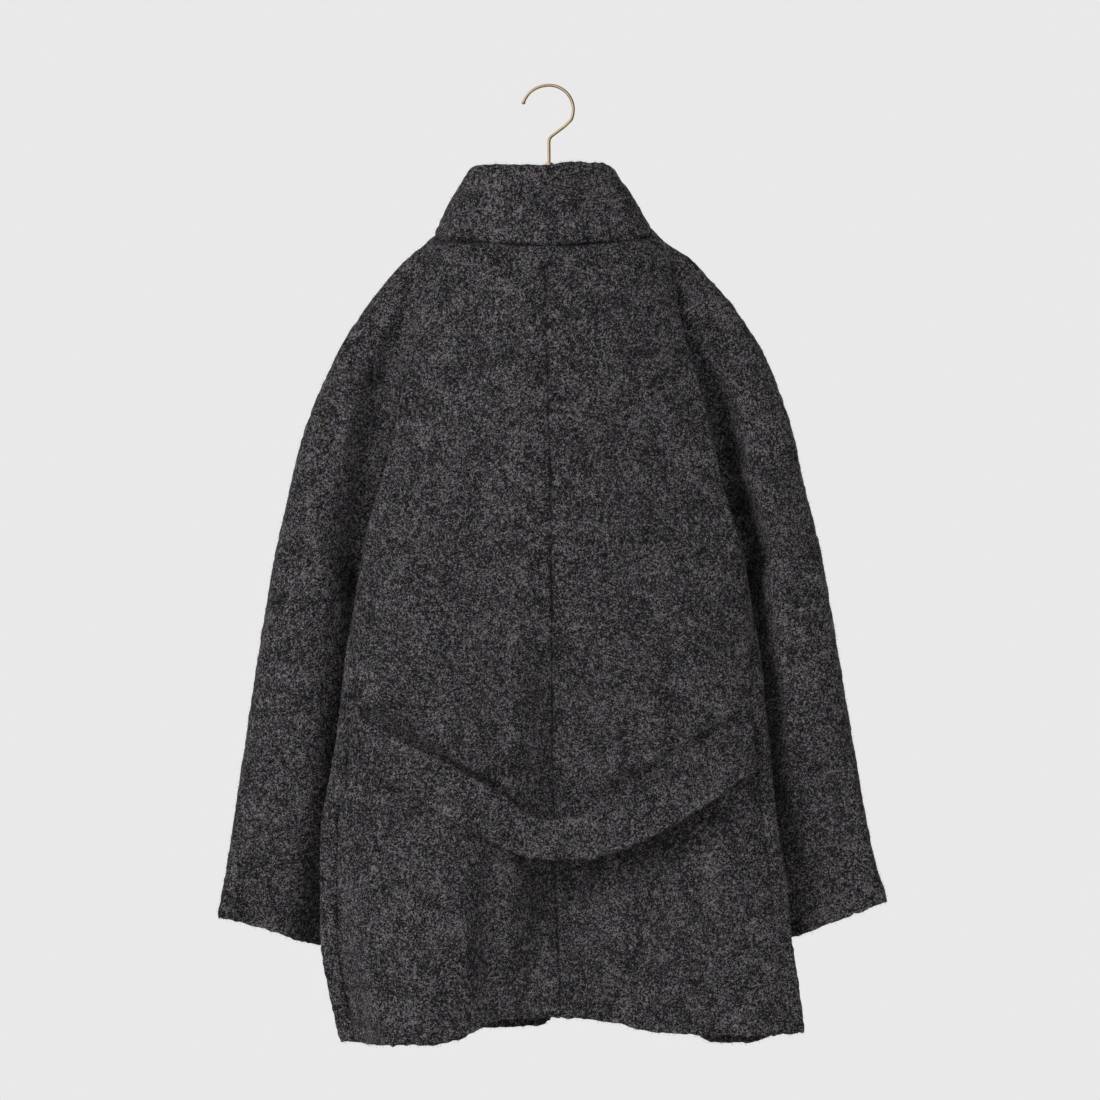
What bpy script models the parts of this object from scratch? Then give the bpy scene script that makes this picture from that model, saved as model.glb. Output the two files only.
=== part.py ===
"""Short toggle coat of nubby grey wool, hung on a wooden hanger.

Every cloth piece is a thin wall with its own open edges. X runs to the wearer's left,
Y to the back of the coat and Z up. The origin is the inner crown of the hanger hook,
and heights are kept as drops below it, in millimetres.
"""
import math

import bpy
import numpy as np

for old in list(bpy.data.objects):
    bpy.data.objects.remove(old, do_unlink=True)

# Scale of the numbers below: millimetres to metres
MM = 0.001

# Walls of the cloth and the gaps left at its seams
CLOTH_WALL = 3.0
COLLAR_WALL = 5.0
BELT_WALL = 5.0
SEAM_GAP = 0.3
NECK_GAP = 0.6

# Share of the side line above the underarm, and how far the side seam turns to the back
UNDERARM = 0.41
SEAM_TURN = 22.0
ARMHOLE_HALF_DEPTH = 26.0

# Lap of the fronts past the middle, and how far the two laps part
LAP = {1: 4.0, -1: 48.0}
LAP_PART = 4.5
COLLAR_END = 5.93

# Rows and columns of the cloth grids
RAGLAN_ROWS = 11
SKIRT_ROWS = 13
BACK_COLUMNS = 9
FRONT_COLUMNS = {1: 9, -1: 10}
SLEEVE_COLUMNS = 19
COLLAR_ROWS = 5
BELT_COLUMNS = 13
BELT_ROWS = 4

# Belt: least room over the back, most room at its middle
BELT_ROOM = 0.9
BELT_STAND = 15.0

# Hanger
WIRE_RADIUS = 1.6
HOOK_RADIUS = 24.4
HOOK_SPREAD = 1.1
HOOK_TIP_ANGLE = 168.0
HOOK_LEAVE_ANGLE = -25.0
# Straight run of the hook's wire and the tight bend into its stem, as (x, drop)
HOOK_NECK = ((-18.0, 37.6), (-14.0, 41.0), (-4.6, 48.0), (-1.3, 51.0), (0.0, 54.8))
FERRULE_RADIUS = 5.0
FERRULE_TOP = 76.0
FERRULE_BOTTOM = 92.0
BAR_HALF_THICK = 7.0
BAR_HEIGHT = 26.0
BAR_REACH = 184.0
BAR_ROOM = 7.0

# Toggles down the front
TOGGLE_DROPS = (275.0, 425.0, 575.0)
TOGGLE_LENGTH = 52.0
TOGGLE_RADIUS = 6.5
TOGGLE_X = 64.0
CORD_RADIUS = 2.2
LOOP_START_X = 4.0
LOOP_HALF_GAP = 5.2

SIDE_NAME = {1: "left", -1: "right"}


def smooth(value):
    """Ease from 0 to 1 as the value goes from 0 to 1."""
    value = np.clip(value, 0.0, 1.0)
    return value * value * (3.0 - 2.0 * value)


def hump(value):
    """Soft bump, 1 at 0 and 0 past 1 on both sides."""
    value = np.clip(np.abs(value), 0.0, 1.0)
    return (1.0 - value * value) ** 2


class Table:
    """Short table of sizes with named columns, read smoothly between its rows."""

    def __init__(self, columns, rows):
        self.columns = columns
        self.rows = np.array(rows, dtype=float)

    def at(self, column, key):
        """Value of a column at a key of the first column."""
        keys = self.rows[:, 0]
        values = self.rows[:, self.columns.index(column)]
        step = np.diff(keys)
        slope = np.diff(values) / step
        both = slope[:-1] * slope[1:]
        total = np.where(both > 0.0, slope[:-1] + slope[1:], 1.0)
        tangent = np.concatenate(([slope[0]], np.where(both > 0.0, 2.0 * both / total, 0.0), [slope[-1]]))
        key = np.clip(np.asarray(key, dtype=float), keys[0], keys[-1])
        i = np.clip(np.searchsorted(keys, key, side="right") - 1, 0, len(step) - 1)
        t = (key - keys[i]) / step[i]
        start = values[i] * (1.0 + 2.0 * t) * (1.0 - t) ** 2 + tangent[i] * step[i] * t * (1.0 - t) ** 2
        end = values[i + 1] * t * t * (3.0 - 2.0 * t) + tangent[i + 1] * step[i] * t * t * (t - 1.0)
        return start + end


# Side line of the back: raglan seam down to the underarm, then the side fold
SIDE_LINE = Table(("drop", "left", "right", "y", "flat"), (
    (150, 108, 98, -10, 16),
    (178, 123, 121, -10, 17),
    (215, 131, 128, -10, 17),
    (265, 138.5, 140.5, -9, 18),
    (315, 149, 154.5, -8, 18),
    (355, 156.5, 164.5, -6, 18),
    (395, 167.5, 173.5, -4, 18),
    (435, 179.5, 184.5, 0, 18),
    (475, 188, 196, 5, 17.5),
    (515, 195.5, 203.5, 8, 17),
    (565, 204.5, 212.5, 10.5, 16.5),
    (615, 209.5, 217.5, 12.5, 16),
    (655, 214.5, 221.5, 14, 15.5),
    (695, 221.5, 224.5, 15, 15.5),
    (735, 228.5, 229.5, 15.5, 15.5),
    (795, 229.5, 238.5, 17, 17),
    (855, 228.5, 243.5, 18, 18),
    (905, 218.5, 250.5, 20, 20),
    (956, 205, 255, 22, 22),
))
FRONT_FLAT = -36.0

# Front raglan seam by share of the way to the underarm
FRONT_RAGLAN = Table(("share", "left", "right"), (
    (0.0, 97, 84),
    (0.25, 116, 110),
    (0.5, 136, 136),
    (0.75, 158, 163),
    (1.0, 190, 197),
))

# Middle of the back and of the front
BACK_MIDDLE = Table(("drop", "x", "y"), (
    (160, 3, 44),
    (250, 0, 48),
    (415, -3, 48),
    (560, -4.5, 47),
    (640, -5.5, 45),
    (735, -6, 41),
    (830, -7, 39),
    (932, -8, 37),
))
FRONT_MIDDLE = Table(("drop", "y"), (
    (200, -50),
    (300, -55),
    (480, -57),
    (640, -57),
    (800, -55),
    (950, -53),
))

# Hems: drop of the edge along the width
BACK_HEM = Table(("x", "drop"), (
    (-254, 946),
    (-206, 948.5),
    (-145, 945.5),
    (-103, 943),
    (-63, 934),
    (-28, 929.5),
    (2, 930),
    (46, 933),
    (72, 944.5),
    (89, 950),
    (118, 953.5),
    (175, 953.5),
    (203, 956),
))
FRONT_HEM = {
    1: Table(("x", "drop"), ((-10, 947), (50, 950), (100, 953), (150, 955), (215, 957))),
    -1: Table(("x", "drop"), (
        (-258, 947),
        (-232, 951),
        (-205, 962),
        (-175, 965),
        (-150, 957),
        (-110, 946),
        (-60, 937),
        (50, 934),
    )),
}

# Large soft folds of the body: line at the top and at the hem, drops, half width, rise
FOLD_COLUMNS = ("x_top", "x_hem", "top", "full", "half_width", "rise")
BACK_FOLDS = (
    (112, 150, 600, 955, 78, 33),
    (-128, -174, 620, 955, 82, 36),
    (34, 24, 470, 900, 46, -9),
    (-60, -52, 700, 955, 52, -7),
)
FRONT_FOLDS = (
    (104, 116, 560, 955, 74, -20),
    (-112, -128, 560, 955, 78, -24),
    (30, 34, 620, 955, 60, 7),
    (-52, -44, 640, 955, 50, 7),
)

# Outer line of the sleeves from the neck to the cuff
SLEEVE_LINE = Table(("drop", "left", "right", "y"), (
    (137, 101, 96, -5),
    (153.6, 118.7, 112.7, -5),
    (173.7, 144, 142, -7),
    (193.5, 162.2, 160, -9),
    (213.5, 178.4, 178.4, -11.5),
    (233.5, 191.6, 192.6, -14),
    (253.6, 203.8, 205.8, -16),
    (273.7, 214, 217, -18),
    (314, 232.3, 233.3, -20),
    (354.4, 247, 245.5, -22),
    (394.8, 256.8, 253.8, -24),
    (465, 274.2, 272.2, -28),
    (566, 292.7, 290.7, -31.5),
    (667.7, 307.6, 307, -34),
    (769, 322.5, 325.5, -36),
    (819.5, 331.7, 339.8, -37.5),
    (834.7, 334.2, 344, -38),
))

# Underarm line of the sleeves below the armhole
SLEEVE_INNER = Table(("drop", "left", "right", "y"), (
    (480, 190, 197, 6),
    (500, 191, 199, -3),
    (520, 191, 200, -12),
    (560, 190, 200, -25),
    (600, 189, 200, -31),
    (640, 188, 199, -34),
    (700, 190, 199, -36),
    (760, 193, 202, -37),
    (870, 200, 208, -38),
))

# Section of the sleeves: 0 at the neck, 1 at the underarm, 2 at the cuff
SLEEVE_FORM = Table(("way", "half_depth", "point", "groove_left", "groove_right"), (
    (0.0, 14, 2.0, 0, 0),
    (0.3, 20, 2.0, 3, 6),
    (0.55, 25, 2.0, 10, 15),
    (0.8, 31, 2.0, 11, 14),
    (1.0, 34, 2.0, 6, 4),
    (1.25, 38, 1.7, 4, 3),
    (1.6, 39, 1.4, 1, 1),
    (2.0, 37, 1.3, 0, 0),
))
GROOVE_PLACE = {1: (0.33, 0.24), -1: (0.15, 0.15)}
UNDERARM_OUTER_DROP = 455.0
CUFF_OUTER_DROP = {1: 834.0, -1: 819.0}
CUFF_INNER_DROP = {1: 870.0, -1: 868.0}

# Neck seam and top edge of the collar, twelve steps round from the middle of the back
NECK_SEAM = np.array((
    (4, 44, 162.5),
    (69, 37, 158.5),
    (110, 16, 155),
    (114, -5, 150),
    (97, -36, 172),
    (52, -48, 195),
    (8, -50, 204),
    (-36, -48, 195),
    (-84, -36, 170),
    (-97, -5, 139),
    (-101, 16, 151),
    (-61, 37, 158.5),
), dtype=float)
COLLAR_TOP = np.array((
    (8, 36, 81),
    (54, 31, 80.5),
    (75, 18, 82.5),
    (81, 0, 91),
    (70, -20, 104),
    (42, -33, 117),
    (9, -37, 124),
    (-25, -33, 117),
    (-54, -20, 103),
    (-65, 0, 89),
    (-59, 18, 81),
    (-39, 31, 78.5),
), dtype=float)

# Belt edges along the width
BELT_EDGES = Table(("x", "upper", "lower"), (
    (-216, 631, 681),
    (-190, 642, 693),
    (-150, 662, 720),
    (-110, 695, 744),
    (-70, 715, 762),
    (-30, 728, 771),
    (0, 733, 771),
    (30, 721, 768),
    (50, 708, 761),
    (90, 684, 738),
    (130, 664, 714),
    (170, 642, 691),
    (196, 626, 676),
))


def around(ring, step):
    """Point on a closed ring of twelve steps, smooth through its rows."""
    step = np.asarray(step, dtype=float)
    count = len(ring)
    i = np.floor(step).astype(int)
    t = (step - i)[..., None]
    p0 = ring[(i - 1) % count]
    p1 = ring[i % count]
    p2 = ring[(i + 1) % count]
    p3 = ring[(i + 2) % count]
    bend = 2.0 * p0 - 5.0 * p1 + 4.0 * p2 - p3
    twist = 3.0 * (p1 - p2) + p3 - p0
    return 0.5 * (2.0 * p1 + (p2 - p0) * t + bend * t * t + twist * t ** 3)


def neck_normal(step):
    """Direction that the cloth's edge faces at the neck seam: outward, tilted up."""
    step = np.asarray(step, dtype=float)
    along = around(NECK_SEAM, step + 0.05) - around(NECK_SEAM, step - 0.05)
    out = np.stack((-along[..., 1], along[..., 0], np.zeros_like(step)), axis=-1)
    centre = np.array((8.0, 0.0, 0.0))
    away = around(NECK_SEAM, step) - centre
    flip = np.sign(out[..., 0] * away[..., 0] + out[..., 1] * away[..., 1])
    out = out * flip[..., None]
    out = out / np.linalg.norm(out, axis=-1, keepdims=True)
    tilt = np.radians(12.0 + 30.0 * np.abs(np.sin(math.pi * step / 6.0)) ** 1.5)
    out = out * np.cos(tilt)[..., None]
    out[..., 2] = -np.sin(tilt)
    return out


def fold_rise(folds, x, drop):
    """Sum of the large folds at a place on the body."""
    rise = np.zeros(np.broadcast(x, drop).shape)
    for x_top, x_hem, top, full, half_width, height in folds:
        way = np.clip((drop - top) / (full - top), 0.0, 1.0)
        middle = x_top + (x_hem - x_top) * way
        rise = rise + height * smooth(way) * hump((x - middle) / half_width)
    return rise


def seam_turn(v):
    """Angle of the side seam round the body section, in degrees."""
    return 90.0 - SEAM_TURN * smooth((v - UNDERARM) / 0.16)


def edge_drop(side, v):
    """Drop of the back's side line at a share of its height."""
    neck = NECK_SEAM[2 if side > 0 else 10][2]
    hem = BACK_HEM.at("drop", side * (191.0 if side > 0 else 236.0))
    return neck + (hem - neck) * v


def armhole(v):
    """Half depth of the armhole at a share of the body's height."""
    share = np.clip(v / UNDERARM, 0.0, 1.0)
    return ARMHOLE_HALF_DEPTH * np.sqrt(np.clip(1.0 - share ** 5, 0.0, 1.0))


def section(side, v, psi):
    """Body section: x, y at an angle from the back middle (0) past the side (90) to the front (180)."""
    drop = edge_drop(side, v)
    middle = 162.5 + (930.0 - 162.5) * v
    above = v <= UNDERARM
    x_side = SIDE_LINE.at(SIDE_NAME[side], drop)
    y_side = SIDE_LINE.at("y", drop)
    share = np.clip(v / UNDERARM, 0.0, 1.0)
    x_front = np.where(above, FRONT_RAGLAN.at(SIDE_NAME[side], share), x_side)
    x_front = x_front + (x_side - x_front) * smooth((share - 0.8) / 0.2)
    back = psi <= 90.0
    angle = np.radians(psi)
    x_mid = np.where(back, BACK_MIDDLE.at("x", middle), 0.0)
    x_edge = np.where(back, x_side, x_front)
    y_mid = np.where(back, BACK_MIDDLE.at("y", middle), FRONT_MIDDLE.at("y", middle + 20.0))
    y_edge = y_side + np.where(above, np.where(back, armhole(v), -armhole(v)), 0.0)
    ease = smooth((v - UNDERARM + 0.08) / 0.24)
    turn_in = smooth((v - UNDERARM + 0.06) / 0.2)
    front_flat = FRONT_FLAT + (y_side - FRONT_FLAT) * turn_in
    y_flat = np.where(back, SIDE_LINE.at("flat", drop), front_flat)
    power = 2.0 / np.where(back, 1.0 + 0.8 * ease, 1.0 + 0.55 * ease)
    sine = np.sin(angle)
    x = x_mid + (side * x_edge - x_mid) * sine
    y = y_flat + (y_mid - y_flat) * np.abs(np.cos(angle)) ** power
    y = y + (y_edge - y_flat) * np.abs(sine) ** 12
    return x, y


def back_raw(side, u, v):
    """Face of a back half before its top is drawn to the neck seam."""
    x, y = section(side, v, u * seam_turn(v))
    one = np.ones_like(v)
    hem_x, _ = section(side, one, u * seam_turn(one))
    neck = around(NECK_SEAM, 2.0 * u if side > 0 else 12.0 - 2.0 * u)[..., 2]
    drop = neck + (BACK_HEM.at("drop", hem_x) - neck) * v
    drop = drop + (edge_drop(side, v) - drop) * smooth((u - 0.6) / 0.4)
    y = y + fold_rise(BACK_FOLDS, x, drop) * smooth((1.0 - u) / 0.25)
    return np.stack((x, y, drop), axis=-1)


def back_point(side, u, v):
    """Outer face of a back half: u from the centre seam to the side, v from neck to hem."""
    u, v = np.broadcast_arrays(np.asarray(u, dtype=float), np.asarray(v, dtype=float))
    neck = around(NECK_SEAM, 2.0 * u if side > 0 else 12.0 - 2.0 * u)
    shift = neck - back_raw(side, u, np.zeros_like(v))
    return back_raw(side, u, v) + shift * (1.0 - smooth(v / 0.16))[..., None]


def front_end(side, v):
    """Angle of a front's free edge round the section, in degrees."""
    x_side = SIDE_LINE.at(SIDE_NAME[side], np.maximum(edge_drop(side, v), 300.0))
    return 180.0 + np.degrees(np.arcsin(LAP[side] / x_side))


def front_seam(side, v):
    """Side line of a front: its raglan seam, then the side seam shared with the back."""
    share = np.clip(v / UNDERARM, 0.0, 1.0)
    x, y = section(side, v, np.full_like(v, 90.001))
    top = NECK_SEAM[4 if side > 0 else 8]
    under = edge_drop(side, np.full_like(v, UNDERARM))
    drop = top[2] + (under - top[2]) * share
    point = np.stack((x, y, drop), axis=-1)
    start_x, start_y = section(side, np.zeros_like(v), np.full_like(v, 90.001))
    start = np.stack((start_x, start_y, np.full_like(v, top[2])), axis=-1)
    point = point + (top - start) * (1.0 - smooth(share / 0.5))[..., None]
    below = back_point(side, np.ones_like(v), v)
    return np.where((v > UNDERARM)[..., None], below, point)


def lap_shift(side, x):
    """How far a front parts from the other one where they lap."""
    if side > 0:
        return LAP_PART * (1.0 - smooth((x - 10.0) / 70.0))
    return -LAP_PART * smooth((x + 70.0) / 60.0)


def front_raw(side, u, v):
    """Face of a front before its side line is drawn to the seam."""
    start = np.where(v <= UNDERARM, 90.001, seam_turn(v))
    psi = start + (front_end(side, v) - start) * u
    x, y = section(side, v, psi)
    first, last = (4.0, 6.25) if side > 0 else (8.0, 5.05)
    step = first + (last - first) * u
    neck = around(NECK_SEAM, step)
    past = (step - COLLAR_END + 0.1) if side > 0 else (12.1 - COLLAR_END - step)
    neck[..., 2] += 4.5 * smooth(past / 0.12)
    neck = neck - neck_normal(step) * lap_shift(side, neck[..., 0])[..., None]
    one = np.ones_like(v)
    hem_psi = seam_turn(one) + (front_end(side, one) - seam_turn(one)) * u
    hem_x, _ = section(side, one, hem_psi)
    drop = neck[..., 2] + (FRONT_HEM[side].at("drop", hem_x) - neck[..., 2]) * v
    y = y + fold_rise(FRONT_FOLDS, x, drop) * smooth((psi - 95.0) / 25.0)
    point = np.stack((x, y + lap_shift(side, x), drop), axis=-1)
    zero = np.zeros_like(v)
    top_psi = 90.001 + (front_end(side, zero) - 90.001) * u
    top_x, top_y = section(side, zero, top_psi)
    top = np.stack((top_x, top_y + lap_shift(side, top_x), neck[..., 2]), axis=-1)
    return point + (neck - top) * (1.0 - smooth(v / 0.2))[..., None]


def front_point(side, u, v):
    """Outer face of a front: u from the side line to the free edge, v from neck to hem."""
    u, v = np.broadcast_arrays(np.asarray(u, dtype=float), np.asarray(v, dtype=float))
    pull = np.clip(1.0 - u / 0.45, 0.0, 1.0) ** 2
    shift = front_seam(side, v) - front_raw(side, np.zeros_like(v), v)
    return front_raw(side, u, v) + shift * pull[..., None]


def sleeve_raw(side, s, way):
    """Face of a sleeve before its top is drawn to the neck seam."""
    name = SIDE_NAME[side]
    share = np.clip(way, 0.0, 1.0)
    arm = np.clip(way - 1.0, 0.0, 1.0)
    behind = back_point(side, np.ones_like(way), share * UNDERARM)
    ahead = front_seam(side, share * UNDERARM)
    under = float(edge_drop(side, UNDERARM))
    low = under + (CUFF_INNER_DROP[side] - under) * arm
    inner = np.stack((side * SLEEVE_INNER.at(name, low), SLEEVE_INNER.at("y", low), low), axis=-1)
    start = np.array((side * SLEEVE_INNER.at(name, under), SLEEVE_INNER.at("y", under), under))
    inner = inner + (behind - start) * (1.0 - smooth(arm / 0.2))[..., None]
    inner = np.where((way > 1.0)[..., None], inner, 0.5 * (behind + ahead))
    shoulder = NECK_SEAM[3 if side > 0 else 9][2]
    high = shoulder + (UNDERARM_OUTER_DROP - shoulder) * share
    high = high + (CUFF_OUTER_DROP[side] - UNDERARM_OUTER_DROP) * arm
    outer = np.stack((side * SLEEVE_LINE.at(name, high), SLEEVE_LINE.at("y", high), high), axis=-1)
    across = 0.5 - 0.5 * np.cos(2.0 * math.pi * s)
    sine = np.sin(2.0 * math.pi * s)
    power = np.where(across < 0.5, SLEEVE_FORM.at("point", way), 1.0)
    half = SLEEVE_FORM.at("half_depth", way) * np.abs(sine) ** power * np.sign(sine)
    point = inner + (outer - inner) * across[..., None]
    on_back = s < 0.5
    ends = np.where(on_back[..., None], behind - inner, ahead - inner)
    pull = np.where(way <= 1.0, (1.0 - 2.0 * s) ** 2, 0.0)
    point = point + ends * pull[..., None]
    place, width = GROOVE_PLACE[side]
    groove = SLEEVE_FORM.at("groove_" + name, way) * hump((across - place) / width)
    point[..., 1] += half - np.where(on_back, groove, 0.0)
    return point


def sleeve_point(side, s, way):
    """Outer face of a sleeve: s from the back seam over the arm to the front seam."""
    s, way = np.broadcast_arrays(np.asarray(s, dtype=float), np.asarray(way, dtype=float))
    neck = around(NECK_SEAM, 2.0 + 2.0 * s if side > 0 else 10.0 - 2.0 * s)
    shift = neck - sleeve_raw(side, s, np.zeros_like(way))
    return sleeve_raw(side, s, way) + shift * (1.0 - smooth(way / 0.25))[..., None]


def collar_point(turn, height):
    """Outer face of the collar: turn from the left front end round the back, height from the seam."""
    turn, height = np.broadcast_arrays(np.asarray(turn, dtype=float), np.asarray(height, dtype=float))
    step = COLLAR_END * (1.0 - 2.0 * turn)
    base = around(NECK_SEAM, step)
    top = around(COLLAR_TOP, step)
    top[..., 2] += 9.0 * smooth((np.abs(step) - COLLAR_END + 0.3) / 0.3)
    point = base + (top - base) * height[..., None]
    swell = 3.0 * np.sin(math.pi * height)
    out = neck_normal(step)
    out[..., 2] = 0.0
    return point + out * swell[..., None]


def back_normal(side, u, v):
    """Outward direction of the back's face."""
    step = 0.01
    low_u = np.clip(u - step, 0.0, 1.0)
    high_u = np.clip(u + step, 0.0, 1.0)
    across = back_point(side, high_u, v) - back_point(side, low_u, v)
    down = back_point(side, u, v + step) - back_point(side, u, v - step)
    normal = np.cross(across, down) * -side
    normal = normal * np.sign(normal[..., 1:2])
    return normal / np.linalg.norm(normal, axis=-1, keepdims=True)


def belt_point(along, height, lift):
    """Face of the belt: along from the right side seam (-1) to the left (1), height from its top."""
    along, height = np.broadcast_arrays(np.asarray(along, dtype=float), np.asarray(height, dtype=float))
    faces = []
    for side in (1, -1):
        u = np.abs(along) * 0.985
        v = np.full_like(u, 0.68)
        for _ in range(4):
            place = back_point(side, u, v)
            upper = BELT_EDGES.at("upper", place[..., 0])
            target = upper + (BELT_EDGES.at("lower", place[..., 0]) - upper) * height
            v = np.clip(v + (target - place[..., 2]) / 790.0, 0.4, 0.98)
        room = BELT_ROOM + BELT_STAND * (1.0 - along ** 2) ** 2 * (0.8 + 0.35 * height)
        faces.append(back_point(side, u, v) + back_normal(side, u, v) * (room + lift)[..., None])
    return np.where((along >= 0.0)[..., None], faces[0], faces[1])


def unit(vectors):
    """Vectors brought to length one."""
    return vectors / np.maximum(np.linalg.norm(vectors, axis=-1, keepdims=True), 1e-9)


class Panel:
    """A cloth piece as a grid of points on its outer face, with a wall behind it."""

    def __init__(self, name, grid, wall, outward):
        self.name = name
        self.grid = grid
        self.wall = wall
        across = np.gradient(grid, axis=1)
        down = np.gradient(grid, axis=0)
        normal = unit(np.cross(across, down))
        if np.sum(normal * outward) < 0.0:
            normal = -normal
        self.normal = normal

    def draw_in(self, edge, amount, rows=slice(None)):
        """Move one edge back along the cloth, so that a seam gap is left."""
        grid = self.grid
        if edge == "first":
            grid[rows, 0] += unit(grid[rows, 1] - grid[rows, 0]) * amount
        elif edge == "last":
            grid[rows, -1] += unit(grid[rows, -2] - grid[rows, -1]) * amount
        elif edge == "top":
            grid[0] += unit(grid[1] - grid[0]) * amount
        else:
            grid[-1] += unit(grid[-2] - grid[-1]) * amount

    def inner(self):
        """Grid of the inner face."""
        return self.grid - self.normal * self.wall


def share_normals(*places):
    """Give the cloth on both sides of a seam one common edge direction."""
    mean = unit(sum(panel.normal[where] for panel, where in places))
    for panel, where in places:
        panel.normal[where] = mean


def material(name, colour, roughness, metallic):
    """Principled material of one sub-part."""
    made = bpy.data.materials.new(name)
    made.use_nodes = True
    shader = made.node_tree.nodes["Principled BSDF"]
    shader.inputs["Base Color"].default_value = (*colour, 1.0)
    shader.inputs["Roughness"].default_value = roughness
    shader.inputs["Metallic"].default_value = metallic
    return made


def add_mesh(name, points, faces, look):
    """Make one closed object from points (x, y, drop) in millimetres."""
    points = np.asarray(points, dtype=float) * (MM, MM, -MM)
    volume = 0.0
    for face in faces:
        a = points[face[0]]
        for k in range(1, len(face) - 1):
            volume += np.dot(a, np.cross(points[face[k]], points[face[k + 1]]))
    if volume < 0.0:
        faces = [tuple(reversed(face)) for face in faces]
    mesh = bpy.data.meshes.new(name)
    mesh.from_pydata([tuple(p) for p in points], [], faces)
    mesh.validate()
    mesh.update()
    mesh.materials.append(look)
    made = bpy.data.objects.new(name, mesh)
    bpy.context.scene.collection.objects.link(made)
    return made


def shell(name, outer, inner, look):
    """Closed wall between two grids of the same size."""
    rows, columns = outer.shape[:2]
    points = np.concatenate((outer.reshape(-1, 3), inner.reshape(-1, 3)))
    back = rows * columns
    faces = []
    for i in range(rows - 1):
        for j in range(columns - 1):
            a = i * columns + j
            for tri in ((a, a + 1, a + columns + 1), (a, a + columns + 1, a + columns)):
                faces.append(tri)
                faces.append(tuple(back + k for k in reversed(tri)))
    rim = [(0, j) for j in range(columns)]
    rim += [(i, columns - 1) for i in range(1, rows)]
    rim += [(rows - 1, j) for j in range(columns - 2, -1, -1)]
    rim += [(i, 0) for i in range(rows - 2, 0, -1)]
    loop = [i * columns + j for i, j in rim]
    for k, a in enumerate(loop):
        b = loop[(k + 1) % len(loop)]
        if a < b:
            faces += [(b, a, back + b), (back + b, a, back + a)]
        else:
            faces += [(b, a, back + a), (b, back + a, back + b)]
    return add_mesh(name, points, faces, look)


def loft(name, rings, look):
    """Closed body through rings of the same number of points."""
    count = len(rings[0])
    points = np.concatenate(rings)
    faces = []
    for i in range(len(rings) - 1):
        for j in range(count):
            k = (j + 1) % count
            faces.append((i * count + j, i * count + k, (i + 1) * count + k, (i + 1) * count + j))
    faces.append(tuple(reversed(range(count))))
    faces.append(tuple((len(rings) - 1) * count + j for j in range(count)))
    return add_mesh(name, points, faces, look)


def tube(name, path, radius, sides, look):
    """Round cord or wire along a path."""
    path = np.asarray(path, dtype=float)
    tangent = unit(np.gradient(path, axis=0))
    side = unit(np.cross(tangent[0], (0.31, 0.84, 0.44)))
    rings = []
    for place, along in zip(path, tangent):
        side = unit(side - along * np.dot(side, along))
        other = np.cross(along, side)
        angles = np.linspace(0.0, 2.0 * math.pi, sides, endpoint=False)
        rings.append(place + radius * (np.cos(angles)[:, None] * side + np.sin(angles)[:, None] * other))
    return loft(name, rings, look)


# Materials
WOOL = {
    "back": material("charcoal_wool_back", (0.040, 0.038, 0.041), 0.95, 0.0),
    "front": material("charcoal_wool_front", (0.040, 0.038, 0.041), 0.95, 0.0),
    "sleeve": material("charcoal_wool_sleeve", (0.038, 0.036, 0.039), 0.95, 0.0),
    "collar": material("charcoal_wool_collar", (0.041, 0.039, 0.042), 0.95, 0.0),
    "belt": material("charcoal_wool_belt", (0.043, 0.041, 0.044), 0.95, 0.0),
}
DARK_WOOD = material("dark_wood", (0.035, 0.022, 0.014), 0.40, 0.0)
CORD = material("charcoal_cord", (0.030, 0.029, 0.031), 0.85, 0.0)
BRASS = material("satin_brass", (0.58, 0.40, 0.16), 0.28, 1.0)
WOOD = material("plain_beech", (0.48, 0.31, 0.17), 0.55, 0.0)

# Rows of the cloth grids, closer together near the underarm
upper_rows = UNDERARM * (1.0 - (1.0 - np.linspace(0.0, 1.0, RAGLAN_ROWS + 1)) ** 1.4)
lower_rows = UNDERARM + (1.0 - UNDERARM) * np.linspace(0.0, 1.0, SKIRT_ROWS + 1)[1:] ** 1.3
body_rows = np.concatenate((upper_rows, lower_rows))[:, None]
arm_rows = 1.0 + np.linspace(0.0, 1.0, SKIRT_ROWS + 1)[1:] ** 1.3
sleeve_rows = np.concatenate((upper_rows / UNDERARM, arm_rows))[:, None]
fold_row = RAGLAN_ROWS

# Cloth panels
panels = {}
for side in (1, -1):
    name = SIDE_NAME[side]
    grid = back_point(side, np.linspace(0.0, 1.0, BACK_COLUMNS)[None, :], body_rows)
    panels["back_" + name] = Panel("back_" + name, grid, CLOTH_WALL, np.array((0.0, 1.0, 0.0)))
    grid = front_point(side, np.linspace(0.0, 1.0, FRONT_COLUMNS[side])[None, :], body_rows)
    panels["front_" + name] = Panel("front_" + name, grid, CLOTH_WALL, np.array((0.0, -1.0, 0.0)))
    grid = sleeve_point(side, np.linspace(0.0, 1.0, SLEEVE_COLUMNS)[None, :], sleeve_rows)
    panels["sleeve_" + name] = Panel("sleeve_" + name, grid, CLOTH_WALL, grid - grid.mean(axis=1, keepdims=True))

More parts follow.
